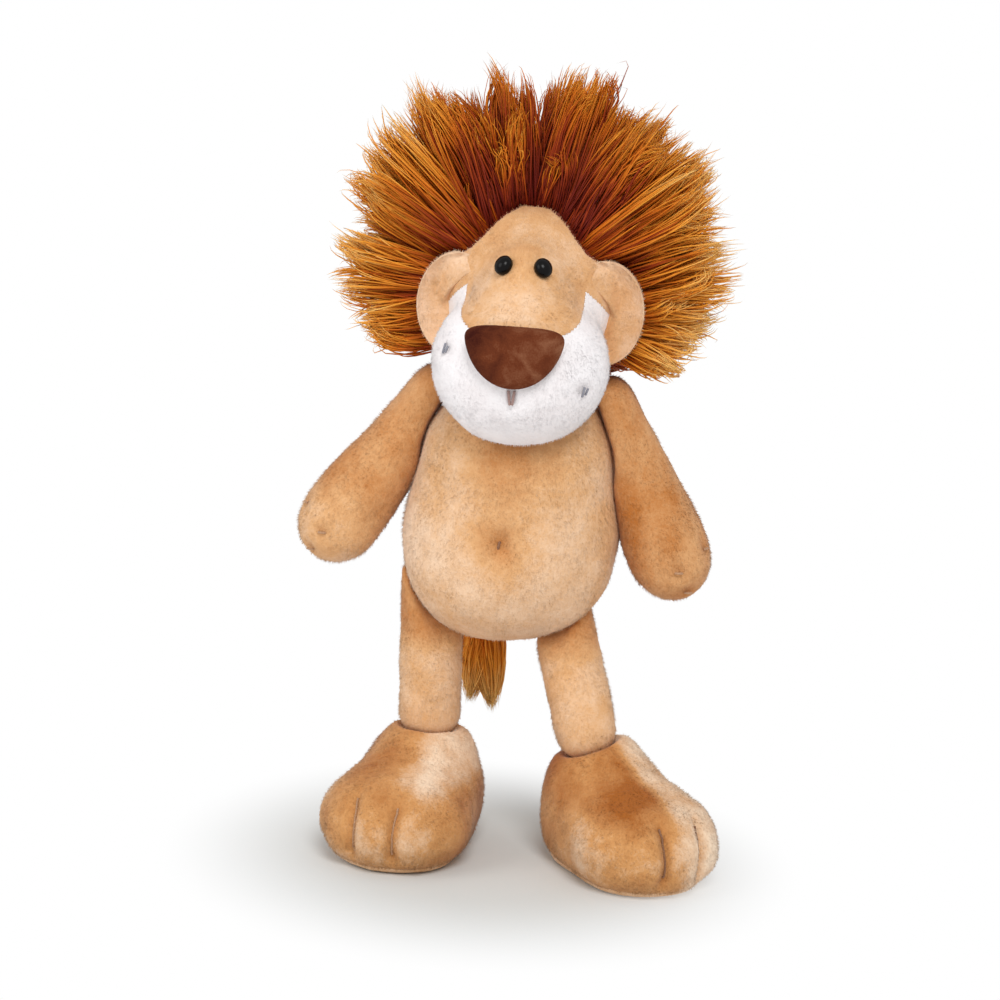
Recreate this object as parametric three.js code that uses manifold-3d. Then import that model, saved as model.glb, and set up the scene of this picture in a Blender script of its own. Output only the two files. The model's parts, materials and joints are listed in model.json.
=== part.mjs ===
// A plush lion that stands on two big feet, with dangling arms, a round mane and a tufted tail.
// Millimetres and degrees. The lion faces -Y, its left side is +X, and +Z is up.
import * as THREE from 'three';
import { mergeVertices } from 'three/addons/utils/BufferGeometryUtils.js';
import Module from 'manifold-3d';

const wasm = await Module();
wasm.setup();

// Cloth and clearances
const seamGap = 0.3;
const slideGap = 0.4;
const cloth = 1.4;
const cutOverrun = 5;
const far = 400;
const weldReach = 1e-4;

// How finely the soft forms are faceted: seen, sliding and hidden surfaces
const bodyDetail = 4;
const liningDetail = 3;
const limbDetail = 3;
const limbLiningDetail = 2;
const smallDetail = 1;
const stitchDetail = 0;
const wideFacets = 28;
const roundFacets = 20;
const smallFacets = 12;
const tinyFacets = 8;

// Feet
const ankleHeight = 41;
const heelWidth = 36;
const heelDepth = 34;
const toeWidth = 47;
const toeDepth = 42;
const toeHeight = 29;
const toeForward = 24;
const heelMiddle = 17;
const toeMiddle = 12;
const footBlend = 9;
const soleThickness = 2;
const pelletBagWidth = 22;
const pelletBagHeight = 7;
const toeSpacing = 14;
const toeStitchWidth = 1.2;
const toeStitchLow = 7;
const toeStitchHigh = 22;

// Legs
const legWidth = 19.5;
const legLength = 24.5;
const hipSpread = 42.5;
const footPlaces = {
  left: { out: 7, forward: 5, splay: 42, shift: 5 },
  right: { out: -0.5, forward: -2, splay: 15, shift: 0 },
};
const hipForwardSwing = 75;
const hipBackSwing = 15;

// Body
const torsoWidth = 66;
const torsoDepth = 58;
const torsoMiddleHeight = 36;
const torsoDomeHeight = 54;
const torsoDomeRadius = 30;
const torsoLean = 2.5;
const torsoBaseExponent = 2.6;
const torsoRimExponent = 2.15;
const hipSeamGap = 2.6;
const neckRadius = 12;
const neckDepth = 22;
const bellyButtonRise = 35;
const bellyButtonWidth = 3;

// Arms
const shoulderRise = 74.5;
const shoulderSpread = 51;
const shoulderWidth = 19;
const pawWidth = 26;
const armLength = 64;
const pawCentreShare = 0.78;
const armSwingForward = 90;
const armSwingBack = 30;
const armLifts = [0, 15, 30];
const armHangOut = { left: 26, right: 34 };
const tackRadius = 2.2;
const pawTackWidth = 2.2;
const pawTackPlaces = [
  { alongShare: 0.8, around: 70 },
  { alongShare: 0.84, around: 10 },
  { alongShare: 0.96, around: 15 },
];

// Head
const headShift = 1;
const skullRise = 54;
const skullWidth = 55;
const skullDepth = 52;
const skullHeight = 53;
const muzzleWidth = 53;
const muzzleDepth = 48;
const muzzleHeight = 48;
const muzzleForward = 25;
const muzzleDrop = 19;
const bridgeWidth = 27;
const bridgeDepth = 36;
const bridgeHeight = 34;
const bridgeForward = 20;
const bridgeRise = 1;
const headBlend = 5;
const headCentreShare = 1 / 3;
const hairlineForward = 6;
const whiteRise = 8;
const whiteBridgeWidth = 33;
const whiteBridgeDrop = 3;
const whiteBridgeRoundShare = 0.35;

// Face details
const noseWidth = 30;
const noseHeight = 19;
const noseThickness = 9;
const noseDrop = 13;
const noseForward = 49;
const noseTaperShare = 0.5;
const noseSquareness = 2.4;
const noseTilt = 12;
const mouthLength = 5;
const stitchWidth = 1.2;
const mouthDrop = 25.5;
const whiskerSpread = 41;
const whiskerDrop = 19;
const eyeWidth = 5.4;
const eyeHeight = 6;
const eyeDome = 2.2;
const eyeSpacing = 11.6;
const eyeRise = 11;
const eyeShank = 2;
const eyeShankLength = 7.5;
const washerWidth = 6;
const washerThickness = 1;
const washerInset = 4;

// Ears
const earWidth = 24;
const earHeight = 31;
const earDepth = 12;
const earSpread = 45;
const earDrop = 4;
const earForward = 14;
const earLayer = 1.6;

// Mane
const maneWidth = 123;
const maneBackDepth = 50;
const maneRise = 4;
const maneHemRise = 32.5;
const maneLobes = 13;
const facetsPerLobe = 3;
const maneLobeShare = 0.04;
const maneNarrowShare = 0.45;
const maneOutlineShares = [
  [0, -0.15], [0.5, -0.15], [0.8, -0.19], [0.95, -0.09], [1, 0.08],
  [0.97, 0.32], [0.84, 0.62], [0.6, 0.86], [0.3, 0.97], [0, 1],
];

// Tail
const tailWidth = 10;
const tailRootRise = 21;
const tailLength = 26;
const tailSideways = 9;
const tailCapRings = 3;
const tuftWidth = 13;
const tuftLength = 33;
const tuftSpread = 7;
const tuftStep = 2;
const tuftBlend = 3;

// Colours from the photograph
const tan = new THREE.MeshStandardMaterial({ color: 0xd9a878, roughness: 0.95, metalness: 0 });
const darkTan = new THREE.MeshStandardMaterial({ color: 0xc08a54, roughness: 0.95, metalness: 0 });
const white = new THREE.MeshStandardMaterial({ color: 0xf1eef0, roughness: 0.95, metalness: 0 });
const brown = new THREE.MeshStandardMaterial({ color: 0x6f452c, roughness: 0.9, metalness: 0 });
const rust = new THREE.MeshStandardMaterial({ color: 0xa35a1c, roughness: 0.9, metalness: 0 });
const black = new THREE.MeshStandardMaterial({ color: 0x0b0a0a, roughness: 0.15, metalness: 0 });
const filling = new THREE.MeshStandardMaterial({ color: 0xf6f4ee, roughness: 1, metalness: 0 });
const thread = new THREE.MeshStandardMaterial({ color: 0x6b4a34, roughness: 0.8, metalness: 0 });
const greyThread = new THREE.MeshStandardMaterial({ color: 0x8a8a92, roughness: 0.8, metalness: 0 });
const plastic = new THREE.MeshStandardMaterial({ color: 0xe8e8e8, roughness: 0.5, metalness: 0 });
const pellets = new THREE.MeshStandardMaterial({ color: 0xdcdad2, roughness: 0.8, metalness: 0 });

const degrees = THREE.MathUtils.degToRad;
const vector = (x, y, z) => new THREE.Vector3(x, y, z);
const even = (radius) => vector(radius, radius, radius);
const half = (x, y, z) => vector(x / 2, y / 2, z / 2);
const sides = { left: 1, right: -1 };

// Solids and cuts
function welded(geometry) {
  const bare = geometry.clone();
  bare.deleteAttribute('normal');
  bare.deleteAttribute('uv');
  return mergeVertices(bare, weldReach);
}

function solid(geometry) {
  const merged = welded(geometry);
  const vertProperties = new Float32Array(merged.attributes.position.array);
  const triVerts = new Uint32Array(merged.index.array);
  return new wasm.Manifold(new wasm.Mesh({ numProp: 3, vertProperties, triVerts }));
}

function geometryOf(body) {
  const { vertProperties, triVerts } = body.getMesh();
  const geometry = new THREE.BufferGeometry();
  geometry.setAttribute('position', new THREE.BufferAttribute(vertProperties, 3));
  geometry.setIndex(new THREE.BufferAttribute(triVerts, 1));
  geometry.computeVertexNormals();
  return geometry;
}

function box(low, high) {
  const size = high.clone().sub(low);
  const geometry = new THREE.BoxGeometry(size.x, size.y, size.z);
  geometry.translate((low.x + high.x) / 2, (low.y + high.y) / 2, (low.z + high.z) / 2);
  return solid(geometry);
}

// A ball stretched to three radii, with about 20 times (detail + 1) squared faces
function ball(centre, radii, detail) {
  const geometry = new THREE.IcosahedronGeometry(1, detail);
  geometry.scale(radii.x, radii.y, radii.z);
  geometry.translate(centre.x, centre.y, centre.z);
  return solid(geometry);
}

// A soft form: the points of a stretched ball, each moved along its ray to the form's surface
function softForm(centre, radii, detail, inside, turn = new THREE.Quaternion()) {
  const merged = welded(new THREE.IcosahedronGeometry(1, detail));
  const points = merged.attributes.position;
  const reachShare = 2.2;
  const halvings = 22;
  for (let i = 0; i < points.count; i += 1) {
    const ray = new THREE.Vector3().fromBufferAttribute(points, i).multiply(radii).applyQuaternion(turn);
    let low = 0;
    let high = reachShare;
    for (let step = 0; step < halvings; step += 1) {
      const middle = (low + high) / 2;
      const point = centre.clone().addScaledVector(ray, middle);
      if (inside(point)) low = middle;
      else high = middle;
    }
    const point = centre.clone().addScaledVector(ray, low);
    points.setXYZ(i, point.x, point.y, point.z);
  }
  return solid(merged);
}

// A cylinder along a unit direction, starting at a point
function rod(start, direction, radius, length, facets) {
  const geometry = new THREE.CylinderGeometry(radius, radius, length, facets);
  geometry.translate(0, length / 2, 0);
  const turn = new THREE.Quaternion().setFromUnitVectors(vector(0, 1, 0), direction);
  geometry.applyQuaternion(turn);
  geometry.translate(start.x, start.y, start.z);
  return solid(geometry);
}

// How far a point lies outside a stretched ball, near enough for blending
function outsideBall(point, centre, radii) {
  const offset = point.clone().sub(centre);
  const scaled = offset.clone().divide(radii).length();
  const steep = offset.clone().divide(radii).divide(radii).length();
  if (steep === 0) return -Math.min(radii.x, radii.y, radii.z);
  return (scaled * (scaled - 1)) / steep;
}

function blended(a, b, reach) {
  const mix = Math.max(reach - Math.abs(a - b), 0) / reach;
  return Math.min(a, b) - (mix * mix * reach) / 4;
}

function turned(point, pivot, axis, angle) {
  return point.clone().sub(pivot).applyAxisAngle(axis, degrees(angle)).add(pivot);
}

const root = new THREE.Group();
root.name = 'plush_lion';

function addPiece(group, name, body, material) {
  const mesh = new THREE.Mesh(geometryOf(body), material.clone());
  mesh.name = name;
  group.add(mesh);
  return mesh;
}

// A pivot group holds the pieces that move together, drawn in the lion's own frame
function pivotGroup(name, place) {
  const group = new THREE.Group();
  group.name = name;
  group.userData.pivot = place;
  root.add(group);
  return group;
}

// Feet: a round heel and a wider toe ball, cut flat on the floor
const hipHeights = {};
const ankles = {};
const hips = {};
for (const side of ['left', 'right']) {
  const place = footPlaces[side];
  const drop = Math.sqrt(legLength ** 2 - place.out ** 2 - place.forward ** 2);
  const hipX = sides[side] * (hipSpread / 2) - torsoLean;
  hipHeights[side] = ankleHeight + drop;
  hips[side] = vector(hipX, 0, hipHeights[side]);
  ankles[side] = vector(hipX + sides[side] * place.out, -place.forward, ankleHeight);
}

// The floor under the heel, which lies a little outside the ankle
function heelPlace(side) {
  const ankle = ankles[side];
  return vector(ankle.x + sides[side] * footPlaces[side].shift, ankle.y, 0);
}

function footInside(side, inset) {
  const turnBack = degrees(-sides[side] * footPlaces[side].splay);
  const floorPoint = heelPlace(side);
  const heel = floorPoint.clone().setZ(heelMiddle);
  const heelRadii = vector(heelWidth / 2, heelDepth / 2, ankleHeight - heelMiddle + cloth);
  const toe = vector(0, -toeForward, toeMiddle);
  const toeRadii = vector(toeWidth / 2, toeDepth / 2, toeHeight - toeMiddle);
  return (point) => {
    const local = point.clone().sub(floorPoint).applyAxisAngle(vector(0, 0, 1), turnBack);
    const heelOut = outsideBall(point, heel, heelRadii);
    const toeOut = outsideBall(local, toe, toeRadii);
    return blended(heelOut, toeOut, footBlend) < -inset;
  };
}

function addFoot(side) {
  const ankle = ankles[side];
  const splay = degrees(sides[side] * footPlaces[side].splay);
  const turn = new THREE.Quaternion().setFromAxisAngle(vector(0, 0, 1), splay);
  const heading = vector(0, -1, 0).applyQuaternion(turn);
  const across = vector(1, 0, 0).applyQuaternion(turn);
  const instep = heelPlace(side).addScaledVector(heading, toeForward / 2);
  const middle = instep.clone().setZ(toeMiddle);
  const radii = vector(toeWidth / 2, toeWidth / 2, ankleHeight / 2);
  const group = pivotGroup(`foot_${side}`, ankle);

  const above = (height) => box(vector(-far, -far, height), vector(far, far, ankleHeight));
  const socket = ball(ankle, even(legWidth / 2 + slideGap), liningDetail);
  const outer = softForm(middle, radii, limbDetail, footInside(side, 0));
  const inner = softForm(middle, radii, limbLiningDetail, footInside(side, cloth));
  const core = softForm(middle, radii, limbLiningDetail, footInside(side, cloth + seamGap));

  const sole = outer.intersect(box(vector(-far, -far, 0), vector(far, far, soleThickness)));
  const upperLow = soleThickness + seamGap;
  const upper = outer.intersect(above(upperLow)).subtract(inner).subtract(socket);
  const bagRadii = vector(pelletBagWidth / 2, pelletBagWidth / 2, pelletBagHeight);
  const bagPlace = instep.clone().setZ(upperLow);
  const bag = ball(bagPlace, bagRadii, smallDetail).intersect(above(upperLow));
  const bagRoom = ball(bagPlace, bagRadii.clone().addScalar(seamGap), smallDetail);
  const stuffing = core.intersect(above(upperLow)).subtract(socket).subtract(bagRoom);

  addPiece(group, `foot_${side}_sole`, sole, tan);
  addPiece(group, `foot_${side}_upper`, upper, darkTan);
  addPiece(group, `foot_${side}_stuffing`, stuffing, filling);
  addPiece(group, `foot_${side}_pellet_bag`, bag, pellets);

  // A stitch runs down the toe in each of the two grooves between three toes
  const surface = softForm(middle, radii, limbDetail, footInside(side, -seamGap));
  const stitched = softForm(middle, radii, limbDetail, footInside(side, -seamGap - toeStitchWidth));
  const rind = stitched.subtract(surface);
  [-1, 1].forEach((which, index) => {
    const start = heelPlace(side).addScaledVector(across, (which * toeSpacing) / 2);
    const slab = new THREE.BoxGeometry(toeStitchWidth, toeWidth, toeStitchHigh - toeStitchLow);
    slab.applyQuaternion(turn);
    const place = start.addScaledVector(heading, toeForward + toeWidth / 2);
    slab.translate(place.x, place.y, (toeStitchHigh + toeStitchLow) / 2);
    addPiece(group, `foot_${side}_toe_stitch_${index + 1}`, rind.intersect(solid(slab)), thread);
  });
}

// Body: a barrel with a domed top, which the neck seam opens
const torsoBase = Math.max(hipHeights.left, hipHeights.right) + hipSeamGap - torsoBaseRise();
const torsoMiddle = torsoBase + torsoMiddleHeight;
const neckPivot = vector(0, 0, torsoBase + torsoDomeHeight);

// The height over its base at which the barrel is as wide as the inner side of the hips
function torsoBaseRise() {
  const widthShare = (hipSpread - legWidth) / torsoWidth;
  const heightShare = (1 - widthShare ** torsoRimExponent) ** (1 / torsoBaseExponent);
  return torsoMiddleHeight * (1 - heightShare);
}

function torsoHalfSize(z) {
  const rise = z - torsoBase;
  if (rise >= torsoDomeHeight) {
    const width = Math.sqrt(Math.max(torsoDomeRadius ** 2 - (rise - torsoDomeHeight) ** 2, 0));
    return { width, depth: width };
  }
  if (rise >= torsoMiddleHeight) {
    const share = THREE.MathUtils.smoothstep(rise, torsoMiddleHeight, torsoDomeHeight);
    const width = THREE.MathUtils.lerp(torsoWidth / 2, torsoDomeRadius, share);
    const depth = THREE.MathUtils.lerp(torsoDepth / 2, torsoDomeRadius, share);
    return { width, depth };
  }
  const dropShare = Math.min((torsoMiddleHeight - rise) / torsoMiddleHeight, 1);
  const share = (1 - dropShare ** torsoBaseExponent) ** (1 / torsoRimExponent);
  return { width: (torsoWidth / 2) * share, depth: (torsoDepth / 2) * share };
}

function torsoCentreX(z) {
  const share = (neckPivot.z - z) / (neckPivot.z - torsoBase);
  return -torsoLean * THREE.MathUtils.clamp(share, 0, 1);
}

function torsoInside(point, grow) {
  const offset = point.z - torsoMiddle;
  const z = torsoMiddle + Math.sign(offset) * Math.max(Math.abs(offset) - grow, 0);
  const limits = torsoHalfSize(z);
  if (limits.width + grow <= 0) return false;
  const x = (point.x - torsoCentreX(point.z)) / (limits.width + grow);
  const y = point.y / (limits.depth + grow);
  return z > torsoBase && z < neckPivot.z + torsoDomeRadius && x * x + y * y < 1;
}

// True where a point would enter the body at some angle of a swing about the X axis
function torsoSweeps(point, pivot, low, high, clearance) {
  const step = 5;
  for (let angle = low; angle <= high; angle += step) {
    if (torsoInside(turned(point, pivot, vector(1, 0, 0), angle), clearance)) return true;
  }
  return false;
}

function addTorso() {
  const group = pivotGroup('torso', vector(0, 0, torsoMiddle));
  const radii = vector(torsoWidth / 2, torsoDepth / 2, (torsoDomeHeight + torsoDomeRadius) / 2);
  const centre = vector(-torsoLean / 2, 0, torsoBase + radii.z);
  const outer = softForm(centre, radii, bodyDetail, (point) => torsoInside(point, 0));
  const inner = softForm(centre, radii, liningDetail, (point) => torsoInside(point, -cloth));
  const core = softForm(centre, radii, liningDetail, (point) => torsoInside(point, -cloth - seamGap));
  const up = vector(0, 0, 1);
  const neckFloor = neckPivot.clone().setZ(neckPivot.z + torsoDomeRadius - neckDepth);
  const neckHole = rod(neckFloor, up, neckRadius + seamGap, neckDepth + cutOverrun, roundFacets);
  const shell = outer.subtract(inner).subtract(neckHole);
  const front = box(vector(-far, -far, 0), vector(far, -seamGap / 2, far));
  const back = box(vector(-far, seamGap / 2, 0), vector(far, far, far));
  addPiece(group, 'belly_panel', shell.intersect(front), tan);
  addPiece(group, 'back_panel', shell.intersect(back), tan);
  addPiece(group, 'torso_stuffing', core.subtract(neckHole), filling);

  const buttonZ = torsoBase + bellyButtonRise;
  const button = vector(torsoCentreX(buttonZ), -torsoHalfSize(buttonZ).depth - seamGap, buttonZ);
  const buttonRadii = vector(bellyButtonWidth / 2, stitchWidth / 2, stitchWidth / 2);
  button.y -= buttonRadii.y;
  addPiece(group, 'belly_button_stitch', ball(button, buttonRadii, stitchDetail), thread);

  const neckGroup = pivotGroup('neck', neckPivot);
  const plugFloor = neckFloor.clone().setZ(neckFloor.z + seamGap);
  const dome = ball(neckPivot, even(torsoDomeRadius), bodyDetail);
  const plug = rod(plugFloor, up, neckRadius, neckDepth + cutOverrun, roundFacets).intersect(dome);
  addPiece(neckGroup, 'neck_stuffing', plug, filling);
}

// Legs: tubes whose tops are pinched into the underside of the body and whose ends are balls
function addLeg(side) {
  const hip = hips[side];
  const ankle = ankles[side];
  const group = pivotGroup(`leg_${side}`, hip);
  const along = ankle.clone().sub(hip).normalize();
  const lean = THREE.MathUtils.radToDeg(Math.atan2(-along.y, -along.z));
  const middle = hip.clone().add(ankle).multiplyScalar(1 / 2);
  const radii = vector(legWidth / 2, legWidth / 2, (legLength + legWidth) / 2);

  const legInside = (inset) => (point) => {
    const climb = Math.max(ankle.clone().sub(point).dot(along), 0);
    const axis = ankle.clone().addScaledVector(along, -climb);
    if (axis.distanceTo(point) > legWidth / 2 - inset) return false;
    return !torsoSweeps(point, hip, lean - hipForwardSwing, lean + hipBackSwing, slideGap + inset);
  };

  const outer = softForm(middle, radii, liningDetail, legInside(0));
  const inner = softForm(middle, radii, limbLiningDetail, legInside(cloth));
  const core = softForm(middle, radii, limbLiningDetail, legInside(cloth + seamGap));
  const mouth = rod(ankle, along, legWidth / 2 - cloth, legWidth, roundFacets);
  addPiece(group, `leg_${side}_skin`, outer.subtract(inner).subtract(mouth), tan);
  addPiece(group, `leg_${side}_stuffing`, core, filling);
}

// Arms: clubs that dangle from a tack of thread at the shoulder, flattened where they lie on the body
const pawCentre = armLength * pawCentreShare;

function armPlace(side) {
  const shoulder = vector(sides[side] * (shoulderSpread / 2), 0, torsoBase + shoulderRise);
  const outward = degrees(-sides[side] * armHangOut[side]);
  const direction = vector(0, 0, -1).applyAxisAngle(vector(0, 1, 0), outward);
  return { shoulder, direction };
}

function armRadius(along, inset) {
  if (along < 0) return Math.sqrt(Math.max((shoulderWidth / 2 - inset) ** 2 - along * along, 0));
  const share = THREE.MathUtils.smoothstep(along, 0, pawCentre);
  const radius = THREE.MathUtils.lerp(shoulderWidth, pawWidth, share) / 2 - inset;
  if (along < pawCentre) return radius;
  const past = (along - pawCentre) / (armLength - pawCentre - inset);
  return radius * Math.sqrt(Math.max(1 - past * past, 0));
}

function armInside(side, inset) {
  const { shoulder, direction } = armPlace(side);
  return (point) => {
    const offset = point.clone().sub(shoulder);
    const along = offset.dot(direction);
    const away = Math.sqrt(Math.max(offset.lengthSq() - along * along, 0));
    if (away >= armRadius(along, inset)) return false;
    return !armLifts.some((lift) => {
      const lifted = turned(point, shoulder, vector(0, -sides[side], 0), lift);
      return torsoSweeps(lifted, shoulder, -armSwingForward, armSwingBack, slideGap + inset);
    });
  };
}

function addArm(side) {
  const { shoulder, direction } = armPlace(side);
  const tackGroup = pivotGroup(`shoulder_${side}`, shoulder);
  const group = pivotGroup(`arm_${side}`, shoulder);
  const inward = vector(-sides[side], 0, 0);
  const middle = shoulder.clone().addScaledVector(direction, (armLength - shoulderWidth / 2) / 2);
  const radii = vector(pawWidth / 2, pawWidth / 2, (armLength + shoulderWidth / 2) / 2);
  const turn = new THREE.Quaternion().setFromUnitVectors(vector(0, 0, -1), direction);

  const outer = softForm(middle, radii, limbDetail, armInside(side, 0), turn);
  const inner = softForm(middle, radii, limbLiningDetail, armInside(side, cloth), turn);
  const core = softForm(middle, radii, limbLiningDetail, armInside(side, cloth + seamGap), turn);
  const mouth = rod(shoulder, inward, tackRadius + seamGap, shoulderWidth, smallFacets);
  const throat = rod(shoulder, direction, tackRadius + seamGap, shoulderWidth / 2, smallFacets);
  const tackRoom = ball(shoulder, even(tackRadius + seamGap), smallDetail).add(mouth).add(throat);
  addPiece(group, `arm_${side}_skin`, outer.subtract(inner).subtract(tackRoom), tan);
  addPiece(group, `arm_${side}_stuffing`, core.subtract(tackRoom), filling);
  addPiece(tackGroup, `shoulder_tack_${side}`, ball(shoulder, even(tackRadius), smallDetail), thread);

  // Three small tacks make the dimples of the paw
  const clear = softForm(middle, radii, limbDetail, armInside(side, -seamGap), turn);
  const front = vector(0, -1, 0).projectOnPlane(direction).normalize();
  pawTackPlaces.forEach(({ alongShare, around }, index) => {
    const ray = front.clone().applyAxisAngle(direction, degrees(-sides[side] * around));
    const start = shoulder.clone().addScaledVector(direction, armLength * alongShare);
    const place = start.addScaledVector(ray, armRadius(armLength * alongShare, 0));
    const tack = ball(place, even(pawTackWidth / 2), smallDetail).subtract(clear);
    addPiece(group, `arm_${side}_paw_tack_${index + 1}`, tack, thread);
  });
}

// Head: a skull ball, a big round muzzle and the bridge between them
const skull = neckPivot.clone().add(vector(headShift, 0, skullRise));
const muzzle = skull.clone().add(vector(0, -muzzleForward, -muzzleDrop));
const bridge = skull.clone().add(vector(0, -bridgeForward, bridgeRise));

function headOutside(point) {
  const skullOut = outsideBall(point, skull, half(skullWidth, skullDepth, skullHeight));
  const muzzleOut = outsideBall(point, muzzle, half(muzzleWidth, muzzleDepth, muzzleHeight));
  const bridgeOut = outsideBall(point, bridge, half(bridgeWidth, bridgeDepth, bridgeHeight));
  return blended(blended(skullOut, muzzleOut, headBlend), bridgeOut, headBlend);
}

function headForm(grow, detail) {
  const centre = skull.clone().lerp(muzzle, headCentreShare);
  const radii = half(skullWidth, skullDepth + muzzleForward, skullHeight + muzzleDrop);
  return softForm(centre, radii, detail, (point) => headOutside(point) < grow);
}

// The point of the face at a place across and a height, seen from the front
function facePoint(x, z, grow) {
  let near = skull.y;
  let beyond = skull.y - muzzleForward - muzzleDepth;
  const halvings = 24;
  for (let step = 0; step < halvings; step += 1) {
    const middle = (near + beyond) / 2;
    if (headOutside(vector(x, middle, z)) < grow) near = middle;
    else beyond = middle;
  }
  return vector(x, near, z);
}

function faceNormal(point) {
  const step = 0.01;
  const at = (x, y, z) => headOutside(point.clone().add(vector(x, y, z)));
  const slope = vector(
    at(step, 0, 0) - at(-step, 0, 0),
    at(0, step, 0) - at(0, -step, 0),
    at(0, 0, step) - at(0, 0, -step),
  );
  return slope.normalize();
}

// The lower face is white, but for the tan bridge that runs down to the nose
function whiteZone(grow) {
  const top = skull.z + whiteRise + grow;
  const zone = box(vector(-far, -far, 0), vector(far, far, top));
  const bridgeLow = skull.z - whiteBridgeDrop;
  const halfWidth = whiteBridgeWidth / 2 - grow;
  const round = new THREE.CylinderGeometry(halfWidth, halfWidth, far, wideFacets);
  round.scale(1, 1, whiteBridgeRoundShare);
  round.translate(skull.x, 0, bridgeLow);
  const strip = box(vector(skull.x - halfWidth, -far, bridgeLow), vector(skull.x + halfWidth, far, far));
  return zone.subtract(solid(round).add(strip));
}

function addEye(group, side, core) {
  const x = skull.x + sides[side] * (eyeSpacing / 2);
  const point = facePoint(x, skull.z + eyeRise, seamGap);
  const normal = faceNormal(point);
  const radius = eyeHeight / 2;
  const outline = [
    new THREE.Vector2(0, -eyeShankLength),
    new THREE.Vector2(eyeShank / 2, -eyeShankLength),
    new THREE.Vector2(eyeShank / 2, 0),
    ...[0, 30, 60].map((rise) => (
      new THREE.Vector2(radius * Math.cos(degrees(rise)), eyeDome * Math.sin(degrees(rise)))
    )),
    new THREE.Vector2(0, eyeDome),
  ];
  const eye = new THREE.LatheGeometry(outline, smallFacets);
  eye.scale(eyeWidth / eyeHeight, 1, 1);
  eye.applyQuaternion(new THREE.Quaternion().setFromUnitVectors(vector(0, 1, 0), normal));
  eye.translate(point.x, point.y, point.z);
  addPiece(group, `eye_${side}`, solid(eye), black);

  const washerFoot = point.clone().addScaledVector(normal, -washerInset - washerThickness);
  const deepest = point.clone().addScaledVector(normal, -eyeShankLength - seamGap);
  const shankRoom = rod(deepest, normal, eyeShank / 2 + seamGap, eyeShankLength + cutOverrun, tinyFacets);
  const washer = rod(washerFoot, normal, washerWidth / 2, washerThickness, smallFacets).subtract(shankRoom);
  addPiece(group, `eye_washer_${side}`, washer, plastic);
  const pocketFoot = washerFoot.clone().addScaledVector(normal, -seamGap);
  const pocket = rod(pocketFoot, normal, washerWidth / 2 + seamGap, washerInset + cutOverrun, smallFacets);
  return { shankRoom, core: core.subtract(pocket).subtract(shankRoom) };
}

function noseInside(point, centre) {
  const local = turned(point, centre, vector(1, 0, 0), noseTilt).sub(centre);
  const taper = 1 - noseTaperShare * (1 / 2 - local.z / noseHeight);
  const x = Math.abs(local.x) / ((noseWidth / 2) * taper);
  const z = Math.abs(local.z) / (noseHeight / 2);
  const y = Math.abs(local.y) / (noseThickness / 2);
  return x ** noseSquareness + z ** noseSquareness + y ** 2 < 1;
}

function addEar(group, side, clear) {
  const centre = skull.clone().add(vector(sides[side] * (earSpread / 2), -earForward, -earDrop));
  const radii = half(earWidth, earDepth, earHeight);
  const cup = (forward) => ball(centre.clone().add(vector(0, -forward, 0)), radii, limbLiningDetail);
  const layer = (near, far) => cup(near).subtract(cup(far)).subtract(clear);
  addPiece(group, `ear_${side}_back`, layer(0, earLayer), tan);
  addPiece(group, `ear_${side}_front`, layer(earLayer + seamGap, earLayer * 2 + seamGap), darkTan);
}

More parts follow.
